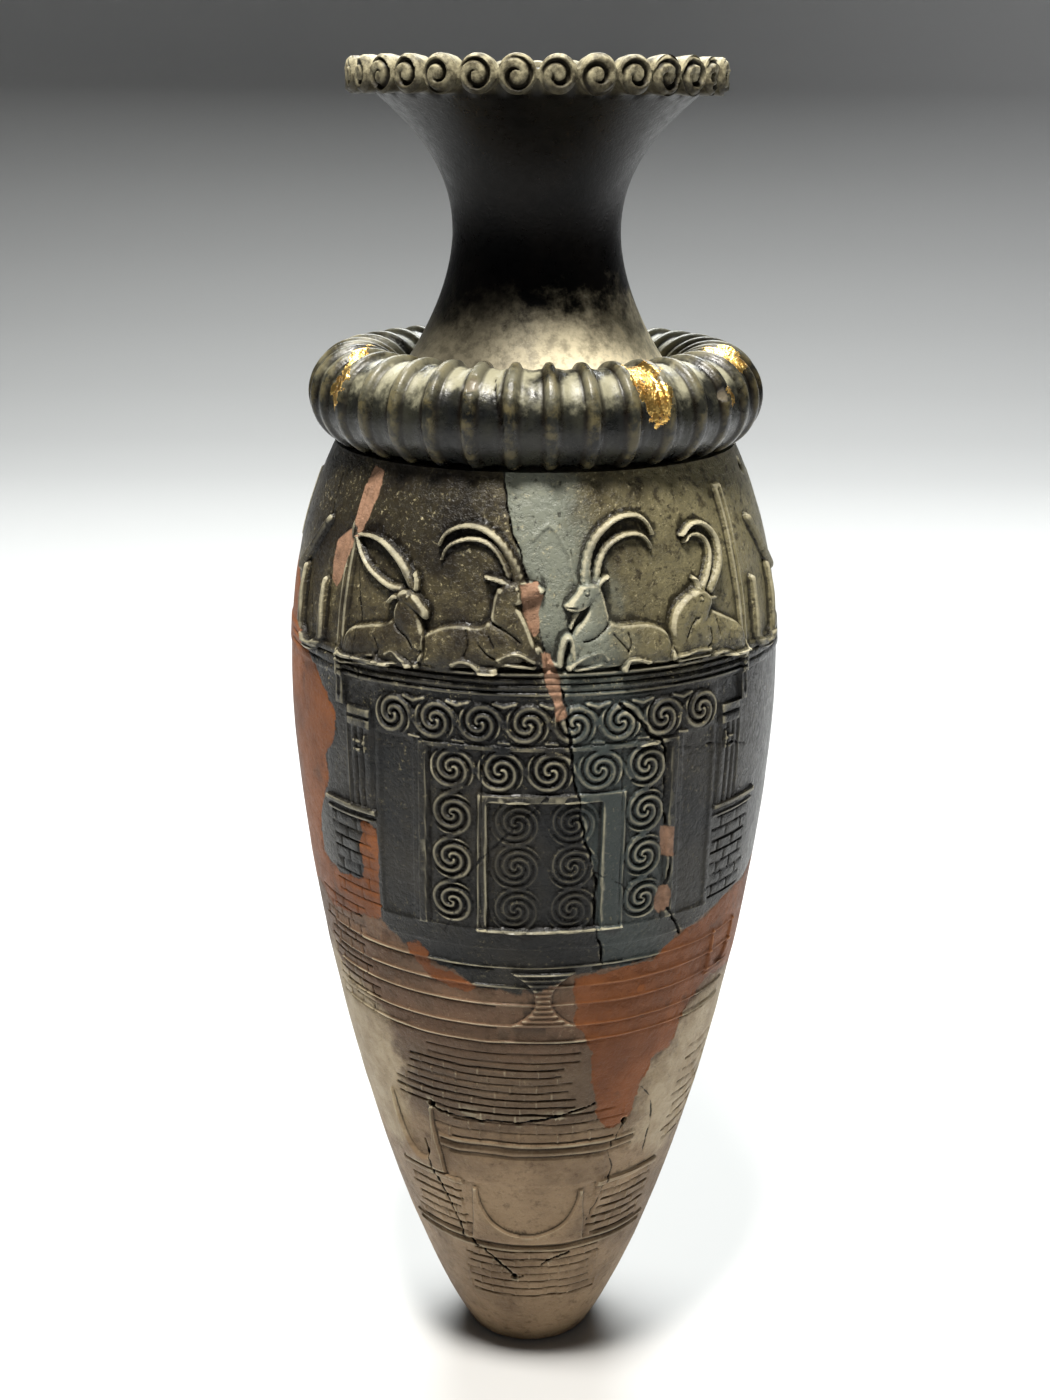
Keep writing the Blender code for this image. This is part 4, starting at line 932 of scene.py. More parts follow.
def sampled(field, angles, heights, angle, height):
    """Values of a grid's field at other places, blended between its four nearest cells."""
    turn = (angle - angles[0]) % 360.0
    starts = np.append(angles - angles[0], 360.0)
    column = np.clip(np.searchsorted(starts, turn, side="right") - 1, 0, len(angles) - 1)
    s = (turn - starts[column]) / (starts[column + 1] - starts[column])
    row = np.clip(np.searchsorted(heights, height, side="right") - 1, 0, len(heights) - 2)
    t = np.clip((height - heights[row]) / (heights[row + 1] - heights[row]), 0.0, 1.0)
    after = (column + 1) % len(angles)
    low = field[row, column] * (1 - s) + field[row, after] * s
    high = field[row + 1, column] * (1 - s) + field[row + 1, after] * s
    return low * (1 - t) + high * t


# Meshes


def closed_ring(name, radii, heights, angles, sharp=40.0):
    """One closed body from rings of points: rows go once round its section, columns round the axis.
    A point is (r sin a, -r cos a, z)."""
    rows, columns = radii.shape
    turn = np.radians(angles)[None, :]
    points = np.stack([radii * np.sin(turn), -radii * np.cos(turn), heights + 0.0 * radii], axis=-1)
    index = np.arange(rows * columns).reshape(rows, columns)
    up = np.roll(index, -1, axis=0)
    faces = np.stack([index, np.roll(index, -1, axis=1), np.roll(up, -1, axis=1), up], axis=-1)
    mesh = bpy.data.meshes.new(name)
    mesh.vertices.add(rows * columns)
    mesh.vertices.foreach_set("co", points.ravel())
    mesh.loops.add(4 * rows * columns)
    mesh.loops.foreach_set("vertex_index", faces.ravel())
    mesh.polygons.add(rows * columns)
    mesh.polygons.foreach_set("loop_start", np.arange(0, 4 * rows * columns, 4))
    mesh.update(calc_edges=True)
    mesh.validate()
    mesh.shade_smooth()
    mesh.set_sharp_from_angle(angle=math.radians(sharp))
    piece = bpy.data.objects.new(name, mesh)
    bpy.context.scene.collection.objects.link(piece)
    return piece


def thinned(piece, triangles):
    """Brings a fine surface down to so many triangles, fewest where it is plain."""
    faces = 2 * len(piece.data.polygons)
    if faces <= triangles:
        return
    fewer = piece.modifiers.new("Fewer faces", "DECIMATE")
    fewer.decimate_type = "COLLAPSE"
    fewer.ratio = triangles / faces
    evaluated = piece.evaluated_get(bpy.context.evaluated_depsgraph_get())
    mesh = bpy.data.meshes.new_from_object(evaluated)
    piece.modifiers.clear()
    piece.data = mesh
    mesh.shade_smooth()
    mesh.set_sharp_from_angle(angle=math.radians(50.0))


def points_of(piece):
    """A piece's points as (angle in degrees, radius and height in mm)."""
    co = np.zeros(3 * len(piece.data.vertices))
    piece.data.vertices.foreach_get("co", co)
    co = co.reshape(-1, 3)
    return np.degrees(np.arctan2(co[:, 0], -co[:, 1])), np.hypot(co[:, 0], co[:, 1]) / MM, co[:, 2] / MM


def give(piece, name, values):
    """Puts one number at every point of a piece, for its finish to read."""
    layer = piece.data.attributes.new(name, "FLOAT", "POINT")
    layer.data.foreach_set("value", np.asarray(values, np.float32))


def make_body():
    """The hollow egg-shaped vessel: carved outer wall, flat seat, round inside and a small spout."""
    fine, coarse, rows = ((0.34, 1.6, 660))
    front = np.arange(FINE_LEFT, FINE_RIGHT, fine)
    back = np.arange(FINE_RIGHT, FINE_LEFT + 360.0, coarse)
    angles = np.concatenate([front, back])
    heights = np.linspace(FOOT_EDGE, BODY_HEIGHT, rows)
    relief = body_relief(angles, heights / MM)
    fade = soft_step((BODY_HEIGHT - heights) / (2.5 * MM)) * soft_step((heights - 6 * MM) / (6 * MM))
    relief = relief * fade[:, None]
    cell = fine * np.radians(56.0)
    wide, narrow = round(2.8 / cell), max(round(0.8 / cell), 1)
    # Relief less its blur: the finish reads these for painted highlights on raised edges and painted shade
    # in recesses
    rise = relief - blurred(relief, wide)
    edge = relief - blurred(relief, narrow)
    outer = wall_radius(heights)[:, None] + relief * MM

    corner = np.radians(np.arange(0.0, 90.0, 15.0))
    edge_radius = wall_radius(FOOT_EDGE) - FOOT_EDGE + FOOT_EDGE * np.sin(corner)
    edge_height = FOOT_EDGE - FOOT_EDGE * np.cos(corner)
    turn_height = BODY_HEIGHT - SHOULDER_THICKNESS - 0.7 * (SEAT_RADIUS - MOUTH_RADIUS)
    inner_low = np.linspace(FLOOR_THICKNESS, turn_height, 40)[::-1]
    inner_low_radius = wall_radius(inner_low) - BODY_WALL
    arc = np.radians(np.linspace(90.0, 0.0, 13))[:-1]
    span = wall_radius(turn_height) - BODY_WALL - MOUTH_RADIUS
    rise_of_arc = BODY_HEIGHT - SHOULDER_THICKNESS - turn_height
    seat = np.linspace(SEAT_RADIUS, MOUTH_RADIUS, 8)[1:]
    floor = np.linspace(inner_low_radius[-1], SPOUT_RADIUS, 6)[1:]
    foot = np.linspace(SPOUT_RADIUS, edge_radius[0], 5)[:-1]
    plain_radius = np.concatenate(
        [seat, MOUTH_RADIUS + span * np.cos(arc), inner_low_radius, floor, foot, edge_radius]
    )
    plain_height = np.concatenate(
        [
            np.full(len(seat), BODY_HEIGHT),
            turn_height + rise_of_arc * np.sin(arc),
            inner_low,
            np.full(len(floor), FLOOR_THICKNESS),
            np.zeros(len(foot)),
            edge_height,
        ]
    )
    spread = np.ones(len(angles))[None, :]
    radii = np.concatenate([outer, plain_radius[:, None] * spread])
    levels = np.concatenate([heights[:, None] * spread, plain_height[:, None] * spread])
    piece = closed_ring("carved_body", radii, levels, angles)
    thinned(piece, BODY_FACES)

    angle, radius, height = points_of(piece)
    outside = radius > wall_mm(height) - 4.0
    main = line_gap(angle, height, MAIN_CRACK) - 0.12
    dark = nearest_line(angle, height, DARK_CRACKS) - 0.18
    cracks = np.minimum(np.minimum(main, dark), hole_gap(angle, height))
    dark_edge = np.interp(angle, [p[0] for p in DARK_EDGE], [p[1] for p in DARK_EDGE])
    rising = MAIN_CRACK[::-1]
    crack_angle = np.interp(height, [p[1] for p in rising], [p[0] for p in rising])
    give(piece, "outside", outside)
    give(piece, "above_edge", height - dark_edge)
    give(piece, "right_of_crack", np.radians(angle - crack_angle) * CRACK_REACH)
    for name, values, elsewhere in (
        ("rise", sampled(rise, angles, heights / MM, angle, height), 0.0),
        ("edge", sampled(edge, angles, heights / MM, angle, height), 0.0),
        ("red_fill", area_depth(angle, height, RED_FILLS), -60.0),
        ("pink_fill", area_depth(angle, height, PINK_FILLS), -60.0),
        ("pale", area_depth(angle, height, PALE_AREAS), -60.0),
        ("crack", cracks, 9.0),
        ("hairline", nearest_line(angle, height, FINE_CRACKS) - 0.08, 9.0),
    ):
        give(piece, name, np.where(outside, values, elsewhere))
    return piece


# Scraps of leaf on the ring: (angle, angle round the tube) outlines in degrees
LEAF_SCRAPS = (
    (
        (-84, 103), (-75, 96), (-66, 74), (-61, 42), (-63, 16), (-60, -6), (-56, 2), (-55, 28),
        (-56, 58), (-64, 88), (-76, 108),
    ),
    (
        (26, 88), (30, 92), (33, 82), (33, 50), (35, 30), (33, 10), (30, -8), (28, 2), (27, 24),
        (25, 48), (25, 74),
    ),
    ((34, 90), (40, 82), (39, 74), (34, 78)),
    ((70, 98), (80, 96), (85, 74), (82, 54), (74, 38), (69, 44), (70, 66), (67, 84)),
    ((56, 34), (59, 26), (59, 8), (57, -4), (55, 4), (55, 24)),
)
RING_CRACK = ((-10.5, 62.0), (-10.0, 42.0), (-9.0, 25.0), (-8.0, 3.0), (-7.0, -17.0))
RING_CHIPS = ((53.0, 20.0, 1.1), (-16.0, 44.0, 1.5))
# Depths and heights of the ring's ribs, flutes and marks, in mm
FLUTE_DEPTH = 0.6
BEAD_HEIGHT = 1.1
FLUTE_DIP = 0.55
BEAD_CUT = 0.4
LEAF_THICKNESS = 0.05
RING_CRACK_DEPTH = 0.7
CHIP_DEPTH = 0.9


def ring_place(angle, around):
    """A place on the ring as distances in mm along it and round its tube."""
    return np.radians(angle) * RING_REACH, np.radians(around) * RING_TUBE_RADIUS / MM


def make_ring():
    """The ring on the shoulder: round in section, with rounded ribs and hollow flutes between."""
    steps, rows = ((20, 110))
    columns = RING_FLUTES * steps
    angles = np.arange(columns) * 360.0 / columns + RING_TURN
    around = np.linspace(-75.0, 255.0, rows)
    share = np.abs((np.arange(columns) / steps + 0.5) % 1.0 - 0.5) * 2.0
    bead = soft_step((0.44 - share) / 0.30)
    offset = -FLUTE_DEPTH + BEAD_HEIGHT * bead - FLUTE_DIP * soft_step((share - 0.25) / 0.75)
    offset = offset - BEAD_CUT * inside(np.abs(share - 0.45) - 0.03, 0.16)
    turn = angles[None, :]
    tube_turn = around[:, None]
    along, across = ring_place(turn, tube_turn)
    wavy = 0.10 * rough_noise(along + 400.0, across + 90.0, 7.0, 41)
    leaf = np.full((rows, columns), -60.0)
    signed = (turn + 180.0) % 360.0 - 180.0 + 0.0 * tube_turn
    x, y = ring_place(signed, tube_turn + 0.0 * signed)
    for outline in LEAF_SCRAPS:
        leaf = np.maximum(leaf, polygon_depth(x, y, [ring_place(*p) for p in outline]))
    wander = 0.4 * rough_noise(x, y, 3.0, 44)
    crack = polyline_gap(x + wander, y, [ring_place(*p) for p in RING_CRACK])
    chips = np.full((rows, columns), 9.0)
    for angle, place, size in RING_CHIPS:
        x, y = ring_place((turn - angle + 180.0) % 360.0 - 180.0, tube_turn - place)
        chips = np.minimum(chips, np.hypot(x, 0.8 * y) - size)
    deep = 0.62 + 0.38 * soft_step((np.sin(np.radians(tube_turn)) + 0.5) / 0.7)
    lift = 0.5 - (0.5 - offset[None, :]) * deep + wavy + LEAF_THICKNESS * inside(-leaf - 0.1, 0.3)
    lift = lift - RING_CRACK_DEPTH * inside(crack - 0.1, 0.5) - CHIP_DEPTH * inside(chips, 0.9)
    tube = RING_TUBE_RADIUS + lift * MM
    radii = RING_CENTRE_RADIUS + tube * np.cos(np.radians(tube_turn))
    heights = RING_HEIGHT + tube * np.sin(np.radians(tube_turn))
    heights = np.maximum(heights, BODY_HEIGHT + REST_GAP)
    piece = closed_ring("ribbed_ring", radii, heights, angles)
    side = ((np.arange(columns) / steps + 0.5) % 1.0 - 0.5) * 2.0
    # Dark streaks beside each rib; the heavier weight on one side is painted shade
    rib_streak_and_shade = inside(np.abs(share - 0.42) - 0.12, 0.2) * np.where(side < 0, 1.0, 0.75)
    for name, values in (
        ("bead", bead[None, :]),
        ("rib_streak_and_shade", rib_streak_and_shade[None, :]),
        ("upward", np.sin(np.radians(tube_turn))),
        ("leaf", leaf),
        ("crack", crack - 0.1),
        ("chip", chips),
    ):
        give(piece, name, (values + 0.0 * tube).ravel())
    return piece


def neck_radius(height):
    """Outer radius of the neck: a power curve down to its lip and another up to the rim."""
    waist = BODY_HEIGHT + WAIST_RISE
    lip = RING_HEIGHT + 0.55 * RING_TUBE_RADIUS
    rim = BODY_HEIGHT + RIM_RISE - COIL_RADIUS
    down = np.clip((waist - height) / (waist - lip), 0.0, 1.0)
    up = np.clip((height - waist) / (rim - waist), 0.0, 1.0)
    foot = (FOOT_OF_NECK + NECK_LIP - WAIST_RADIUS) * down**NECK_SPREAD
    return WAIST_RADIUS + foot + (LIP_RADIUS - WAIST_RADIUS) * up**LIP_SPREAD


COIL_TURNS = 1.45
COIL_DEPTH = 1.7
COIL_ROUNDING = 1.3
CHIPPED_COILS = (3, 4, 5, 7)


def make_neck():
    """The neck: it stands on the seat inside the ring, flares out and ends in a rim of coils.
    A coil's face falls in along a spiral: the phase is the reach in turns less the bearing."""
    steps = 18
    columns = RIM_COILS * steps
    angles = (np.arange(columns) + 0.5) * 360.0 / columns
    number = np.arange(columns) // steps
    across = ((np.arange(columns) + 0.5) / steps % 1.0 - 0.5) * COIL_PITCH
    random = np.random.default_rng(8)
    size = (COIL_RADIUS * random.uniform(0.94, 1.02, RIM_COILS))[number]
    coil = np.sqrt(np.clip(size**2 - across**2, (0.22 * COIL_RADIUS) ** 2, None))
    centre = BODY_HEIGHT + RIM_RISE
    foot = BODY_HEIGHT + REST_GAP
    lip = RING_HEIGHT + 0.55 * RING_TUBE_RADIUS
    rim = centre - COIL_RADIUS

    side = np.linspace(lip, rim, 60)
    low_radius = np.array([MOUTH_RADIUS, 0.5 * (MOUTH_RADIUS + FOOT_OF_NECK), FOOT_OF_NECK, FOOT_OF_NECK])
    low_height = np.array([foot, foot, foot, RING_HEIGHT + 0.1 * RING_TUBE_RADIUS])
    ones = np.ones(columns)[None, :]
    outer_radius = np.concatenate([low_radius, neck_radius(side)])[:, None] * ones
    outer_height = np.concatenate([low_height, side])[:, None] * ones

    face = np.linspace(-1.0, 1.0, 41)[:, None]
    face_up = face * coil[None, :]
    own = random.uniform(-0.12, 0.12, (3, RIM_COILS))[:, number]
    x = across[None, :] / size[None, :] - 0.5 * own[0]
    y = face_up / size[None, :] - 0.5 * own[1] + 0.06
    reach = np.hypot(x, y)
    bearing = np.arctan2(y, x)
    phase = COIL_TURNS * reach - (bearing - 0.9) / (2 * np.pi) + 3.0 * own[2]
    gap = np.abs((phase + 0.5) % 1.0 - 0.5) / COIL_TURNS * COIL_RADIUS / MM
    cut = inside(gap - 0.5, 0.8) * soft_step((reach - 0.2) / 0.12) * inside(reach - 0.9, 0.16)
    worn = random.uniform(0.7, 1.0, RIM_COILS)[number][None, :]
    chipped = np.isin(number, CHIPPED_COILS)[None, :]
    rounding = soft_step((np.hypot(across[None, :], face_up) / size[None, :] - 0.72) / 0.34)
    carved = COIL_DEPTH * worn * cut * (1 - rounding)
    face_radius = RIM_RADIUS - MM * (carved + COIL_ROUNDING * rounding)
    face_radius = face_radius - 0.5 * MM * soft_step((0.35 - reach) / 0.4) * (1 - worn)
    rough = rough_noise(across[None, :] / MM + 9.0 + 31.0 * own[2], face_up / MM, 1.7, 61)
    face_radius = face_radius - MM * (0.10 + 0.5 * chipped) * (0.6 + rough)

    root = RIM_RADIUS - COIL_LENGTH
    back = RIM_RADIUS - 1.3 * MM
    wobble = MM * 0.15 * rough_noise(angles[None, :] * 0.7, 0 * face, 3.0, 62)[:1]
    under = np.array([[root], [0.5 * (root + back)], [back]])
    under_height = centre - np.array([[0.88], [0.97], [1.0]]) * coil[None, :]
    over = np.array([[back], [0.5 * (root + back)], [root]])
    over_height = centre + np.array([[1.0], [0.99], [0.9]]) * coil[None, :]
    over_height[1] = over_height[1] + wobble[0]
    rim_top = centre + 0.3 * COIL_RADIUS

    inner = np.linspace(rim_top - 0.5 * NECK_WALL, foot + 1.0 * MM, 50)
    slope = (neck_radius(inner + 0.5 * MM) - neck_radius(inner - 0.5 * MM)) / MM
    inner_radius = neck_radius(inner) - NECK_WALL * np.sqrt(1.0 + slope**2)
    inner_radius = np.minimum(inner_radius, MOUTH_RADIUS + np.clip(inner - lip, 0.0, None))
    top_radius = np.array([root - 0.8 * MM, inner_radius[0] + 0.8 * MM])
    inner_all = np.concatenate([top_radius, inner_radius])[:, None] * ones
    inner_height = np.concatenate([[rim_top, rim_top], inner])[:, None] * ones

    radii = np.concatenate([outer_radius, under * ones, face_radius, over * ones, inner_all])
    heights = np.concatenate([outer_height, under_height, centre + face_up, over_height, inner_height])
    piece = closed_ring("scrolled_neck", radii, heights, angles, 55.0)
    hollow, scrolls, outside = np.zeros((3,) + radii.shape)
    first = len(outer_radius) + len(under)
    hollow[first : first + len(face)] = cut * (1 - rounding)
    scrolls[first - len(under) : first + len(face) + len(over)] = 1.0
    outside[: len(outer_radius)] = 1.0
    for name, values in (("hollow", hollow), ("scrolls", scrolls), ("outside", outside)):
        give(piece, name, values.ravel())
    return piece


# Finishes


def tone(red, green, blue):
    """A colour from its 0 to 255 values, as the light-linear numbers that a shader takes."""
    return tuple((v / 255.0) ** 2.2 for v in (red, green, blue)) + (1.0,)


class Finish:
    """The node tree of one procedural finish, built up by short calls."""

    def __init__(self, name):
        self.material = bpy.data.materials.new(name)
        self.material.use_nodes = True
        self.tree = self.material.node_tree
        self.shader = self.tree.nodes["Principled BSDF"]
        self.place = self.tree.nodes.new("ShaderNodeTexCoord").outputs["Object"]

    def node(self, kind, inputs, **settings):
        """A new node: each input takes a value, or a link where it is given a socket."""
        made = self.tree.nodes.new(kind)
        for name, value in settings.items():
            setattr(made, name, value)
        for socket, value in inputs.items():
            if isinstance(value, bpy.types.NodeSocket):
                self.tree.links.new(value, made.inputs[socket])
            else:
                made.inputs[socket].default_value = value
        return made

    def noise(self, size, detail=4.0, rough=0.6, shift=0.0):
        """Cloudy noise, about 0.5 in the middle; size is that of its clouds in mm."""
        place = self.place
        if shift:
            moved = {"Vector": place, "Location": (shift, shift, 0.0)}
            place = self.node("ShaderNodeMapping", moved).outputs["Vector"]
        inputs = {"Vector": place, "Scale": 1000.0 / size, "Detail": detail, "Roughness": rough}
        return self.node("ShaderNodeTexNoise", inputs).outputs["Fac"]

    def read(self, name):
        """A number that the piece carries at its points."""
        return self.node("ShaderNodeAttribute", {}, attribute_name=name).outputs["Fac"]

    def math(self, kind, first, second):
        return self.node("ShaderNodeMath", {0: first, 1: second}, operation=kind).outputs[0]

    def times(self, first, second):
        return self.math("MULTIPLY", first, second)

    def plus(self, first, second):
        return self.math("ADD", first, second)

    def frayed(self, value, amount):
        """A value whose steps follow a torn line: so much of the finish's own unevenness added."""
        return self.plus(value, self.times(self.ragged, amount))

    def ramp(self, value, low, high, to_low=0.0, to_high=1.0):
        """Maps low..high to a new range, softly and without running past its ends."""
        names = ("Value", "From Min", "From Max", "To Min", "To Max")
        inputs = dict(zip(names, (value, low, high, to_low, to_high)))
        return self.node("ShaderNodeMapRange", inputs, interpolation_type="SMOOTHSTEP").outputs["Result"]

    def mix(self, share, first, second):
        """A colour between two colours or sockets."""
        inputs = {0: share, 6: first, 7: second}
        return self.node("ShaderNodeMix", inputs, data_type="RGBA").outputs[2]

    def blend(self, share, first, second):
        """A number between two numbers or sockets."""
        inputs = {0: share, 2: first, 3: second}
        return self.node("ShaderNodeMix", inputs, data_type="FLOAT").outputs[0]

    def done(self, colour, roughness, height, depth_mm, metallic=None):
        """Joins colour, roughness and a bump of this depth to the shader."""
        links = self.tree.links
        links.new(colour, self.shader.inputs["Base Color"])
        links.new(roughness, self.shader.inputs["Roughness"])
        if metallic is not None:
            links.new(metallic, self.shader.inputs["Metallic"])
        bump = self.node("ShaderNodeBump", {"Height": height, "Distance": depth_mm * MM, "Strength": 1.0})
        links.new(bump.outputs["Normal"], self.shader.inputs["Normal"])
        return self.material


def relief_stone():
    """The body's stone: a dark glossy sherd above, brown below, with fills, cracks, wear and dust, painted
    highlights on raised edges and on the right of the goats' band, and painted shade in recesses and at
    its upper left.
    """
    f = Finish("Relief stone, patinated, with painted light and shade")
    f.ragged = f.math("SUBTRACT", f.noise(5.0, 5.0, 0.65), 0.5)
    rise, edge = f.read("rise"), f.read("edge")
    above = f.frayed(f.read("above_edge"), 6.0)
    parts = f.node("ShaderNodeSeparateXYZ", {"Vector": f.place})
    level = f.frayed(parts.outputs["Z"], 0.012)
    clouds = f.noise(26.0, 5.0, 0.6)
    patches = f.noise(9.0, 5.0, 0.65, shift=0.4)
    mottle = f.noise(2.6, 5.0, 0.7)
    grain = f.noise(0.7, 3.0, 0.6)

    brown = f.mix(f.ramp(clouds, 0.35, 0.65), tone(110, 91, 71), tone(146, 124, 98))
    brown = f.mix(f.ramp(level, 0.070, 0.078, 0.0, 0.65), brown, tone(68, 55, 45))
    reddish = f.times(f.ramp(level, 0.088, 0.104), f.ramp(patches, 0.3, 0.6, 0.35, 0.9))
    brown = f.mix(reddish, brown, tone(102, 78, 61))
    brown = f.mix(f.ramp(mottle, 0.5, 0.75, 0.0, 0.6), brown, tone(70, 54, 41))
    pale = f.ramp(f.frayed(f.read("pale"), 16.0), -2.0, 4.0)
    brown = f.mix(pale, brown, f.mix(f.ramp(patches, 0.35, 0.65), tone(168, 152, 126), tone(142, 124, 98)))

    dark = f.mix(f.ramp(clouds, 0.38, 0.62), tone(24, 25, 26), tone(40, 38, 34))
    olive = f.mix(f.ramp(patches, 0.35, 0.62), tone(43, 39, 33), tone(72, 66, 50))
    # Painted light: the goats' band is lighter towards the right, where the light falls on it
    painted_light_right_side = f.ramp(f.frayed(parts.outputs["X"], 0.03), 0.0, 0.045, 0.0, 0.6)
    olive = f.mix(painted_light_right_side, olive, tone(128, 121, 92))
    # Painted shade: darker at the upper left of the shoulder, below the ring
    painted_shade_left_top = f.times(f.ramp(level, 0.200, 0.212), f.ramp(parts.outputs["X"], 0.0, -0.02, 0.0, 0.7))
    olive = f.mix(painted_shade_left_top, olive, tone(28, 26, 24))
    olive = f.mix(f.ramp(mottle, 0.5, 0.66, 0.0, 0.8), olive, tone(40, 35, 27))
    dark = f.mix(f.ramp(level, 0.184, 0.194), dark, olive)
    right = f.ramp(f.plus(f.read("right_of_crack"), f.ragged), -0.3, 0.3)
    near = f.ramp(f.frayed(f.read("right_of_crack"), 14.0), 22.0, 10.0)
    sherd = f.mix(f.ramp(level, 0.180, 0.200), tone(58, 65, 64), tone(118, 122, 111))
    dark = f.mix(f.times(f.times(right, near), 0.72), dark, sherd)
    colour = f.mix(f.ramp(above, -0.5, 0.5), brown, dark)

    speck = f.ramp(f.noise(1.0, 4.0, 0.75, shift=0.3), 0.56, 0.70)
    strength = f.times(f.ramp(patches, 0.42, 0.6, 0.1, 0.8), f.ramp(level, 0.150, 0.195, 0.3, 1.0))
    colour = f.mix(f.times(speck, strength), colour, tone(164, 154, 122))
    fleck = f.ramp(f.noise(1.7, 5.0, 0.75, shift=1.3), 0.56, 0.66, 0.0, 0.75)
    colour = f.mix(f.times(fleck, f.ramp(level, 0.150, 0.195, 0.3, 1.0)), colour, tone(30, 27, 23))

    # Paler raised edges: partly rubbed wear, partly painted highlight, stronger in the goats' band
    worn = f.times(f.ramp(edge, 0.12, 0.36), f.ramp(patches, 0.3, 0.6, 0.4, 1.0))
    # Painted shade: darker in the relief's recesses and hollows
    low = f.math("MAXIMUM", f.ramp(edge, -0.06, -0.28, 0.0, 0.8), f.ramp(rise, -0.25, -0.9, 0.0, 0.6))
    edge_wear_and_highlight_strength = f.ramp(level, 0.185, 0.190, 0.42, 0.55)
    colour = f.mix(f.times(worn, edge_wear_and_highlight_strength), colour, tone(192, 184, 156))
    colour = f.mix(low, colour, tone(16, 13, 10))

    red = f.ramp(f.frayed(f.read("red_fill"), 5.0), -0.25, 0.25)
    plaster = f.mix(f.ramp(clouds, 0.35, 0.65), tone(100, 60, 34), tone(128, 77, 43))
    plaster = f.mix(f.ramp(patches, 0.55, 0.72, 0.0, 0.7), plaster, tone(72, 52, 40))
    plaster = f.mix(f.ramp(mottle, 0.5, 0.75, 0.0, 0.5), plaster, tone(96, 58, 40))
    # On the plaster too: paler raised edges, wear and painted highlight, and darker recesses, painted
    # shade
    plaster = f.mix(f.times(worn, 0.6), plaster, tone(196, 146, 106))
    plaster = f.mix(f.times(low, 0.6), plaster, tone(60, 34, 22))
    colour = f.mix(red, colour, plaster)

    pink = f.ramp(f.frayed(f.read("pink_fill"), 2.2), -0.2, 0.2)
    putty = f.mix(f.ramp(mottle, 0.4, 0.7), tone(136, 106, 86), tone(102, 78, 62))
    colour = f.mix(pink, colour, putty)

    near_crack = f.frayed(f.read("crack"), 0.6)
    crack = f.times(f.ramp(near_crack, 0.18, 0.0), f.math("SUBTRACT", 1.0, pink))
    hair = f.ramp(f.frayed(f.read("hairline"), 0.7), 0.16, -0.04, 0.0, 0.85)
    colour = f.mix(f.math("MAXIMUM", crack, hair), colour, tone(14, 12, 10))
    inside_wall = f.mix(f.ramp(mottle, 0.4, 0.7), tone(112, 98, 80), tone(84, 72, 58))
    colour = f.mix(f.read("outside"), inside_wall, colour)

    f.shader.inputs["Specular IOR Level"].default_value = 0.2
    rough = f.blend(f.ramp(above, -0.5, 0.5), 0.55, 0.33)
    rough = f.blend(f.math("MAXIMUM", red, pink), rough, 0.55)
    rough = f.plus(rough, f.times(f.math("SUBTRACT", mottle, 0.5), 0.4))
    pits = f.ramp(f.noise(1.5, 4.0, 0.7), 0.34, 0.58)
    height = f.plus(f.times(grain, 0.4), f.plus(pits, f.times(mottle, 0.8)))
    return f.done(colour, rough, height, 0.11)


def ribbed_stone():
    """The ring's polished dark stone: tops pale with dust and painted highlight, brown-black streaks by
    the ribs with painted shade on one side, leaf scraps.
    """
    f = Finish("Ribbed stone, polished, with leaf")
    f.ragged = f.math("SUBTRACT", f.noise(3.0, 5.0, 0.7), 0.5)
    clouds = f.noise(11.0, 5.0, 0.6)
    mottle = f.noise(2.0, 5.0, 0.7)
    up = f.frayed(f.read("upward"), 1.2)
    stone = f.mix(f.ramp(clouds, 0.35, 0.65), tone(20, 21, 21), tone(40, 40, 34))
    # Paler on upward faces: dust, and painted highlight where the light falls on top, less on the ribs
    dust_and_highlight = f.times(f.ramp(up, 0.15, 0.8), f.ramp(clouds, 0.42, 0.58, 0.04, 0.7))
    dust_and_highlight = f.times(dust_and_highlight, f.math("SUBTRACT", 1.0, f.times(f.read("bead"), 0.6)))
    stone = f.mix(dust_and_highlight, stone, tone(156, 152, 128))
    # Brown-black streaks by the ribs, partly stain, heavier on one side as painted shade
    rib_streak_and_shade = f.times(f.read("rib_streak_and_shade"), f.ramp(f.noise(5.0, 4.0, 0.65, shift=0.2), 0.28, 0.46))
    stone = f.mix(f.times(rib_streak_and_shade, 0.95), stone, tone(18, 14, 9))
    ochre = f.times(f.read("bead"), f.ramp(f.noise(3.5, 5.0, 0.7, shift=0.5), 0.42, 0.62))
    stone = f.mix(f.times(ochre, 0.28), stone, tone(128, 116, 80))
    leaf = f.ramp(f.frayed(f.read("leaf"), 6.5), -0.12, 0.12)
    torn = f.ramp(f.noise(1.6, 5.0, 0.75, shift=0.7), 0.58, 0.62)
    leaf = f.times(leaf, f.math("SUBTRACT", 1.0, torn))
    gold = f.mix(f.ramp(mottle, 0.4, 0.65), tone(246, 206, 122), tone(212, 160, 84))
    colour = f.mix(leaf, stone, gold)
    crack = f.ramp(f.frayed(f.read("crack"), 0.5), 0.2, 0.0)
    colour = f.mix(crack, colour, tone(16, 13, 11))
    chip = f.ramp(f.frayed(f.read("chip"), 1.5), 0.2, -0.3)
    colour = f.mix(f.times(chip, 0.8), colour, tone(104, 96, 82))
    f.shader.inputs["Specular IOR Level"].default_value = 0.3
    rough = f.ramp(mottle, 0.3, 0.75, 0.22, 0.46)
    rough = f.blend(dust_and_highlight, rough, 0.5)
    rough = f.blend(leaf, rough, 0.3)
    crinkle = f.times(f.noise(1.8, 3.0, 0.6, shift=0.9), f.times(leaf, 5.0))
    height = f.plus(f.noise(0.8, 3.0, 0.6), f.plus(f.times(mottle, 0.8), crinkle))
    return f.done(colour, rough, height, 0.09, metallic=leaf)


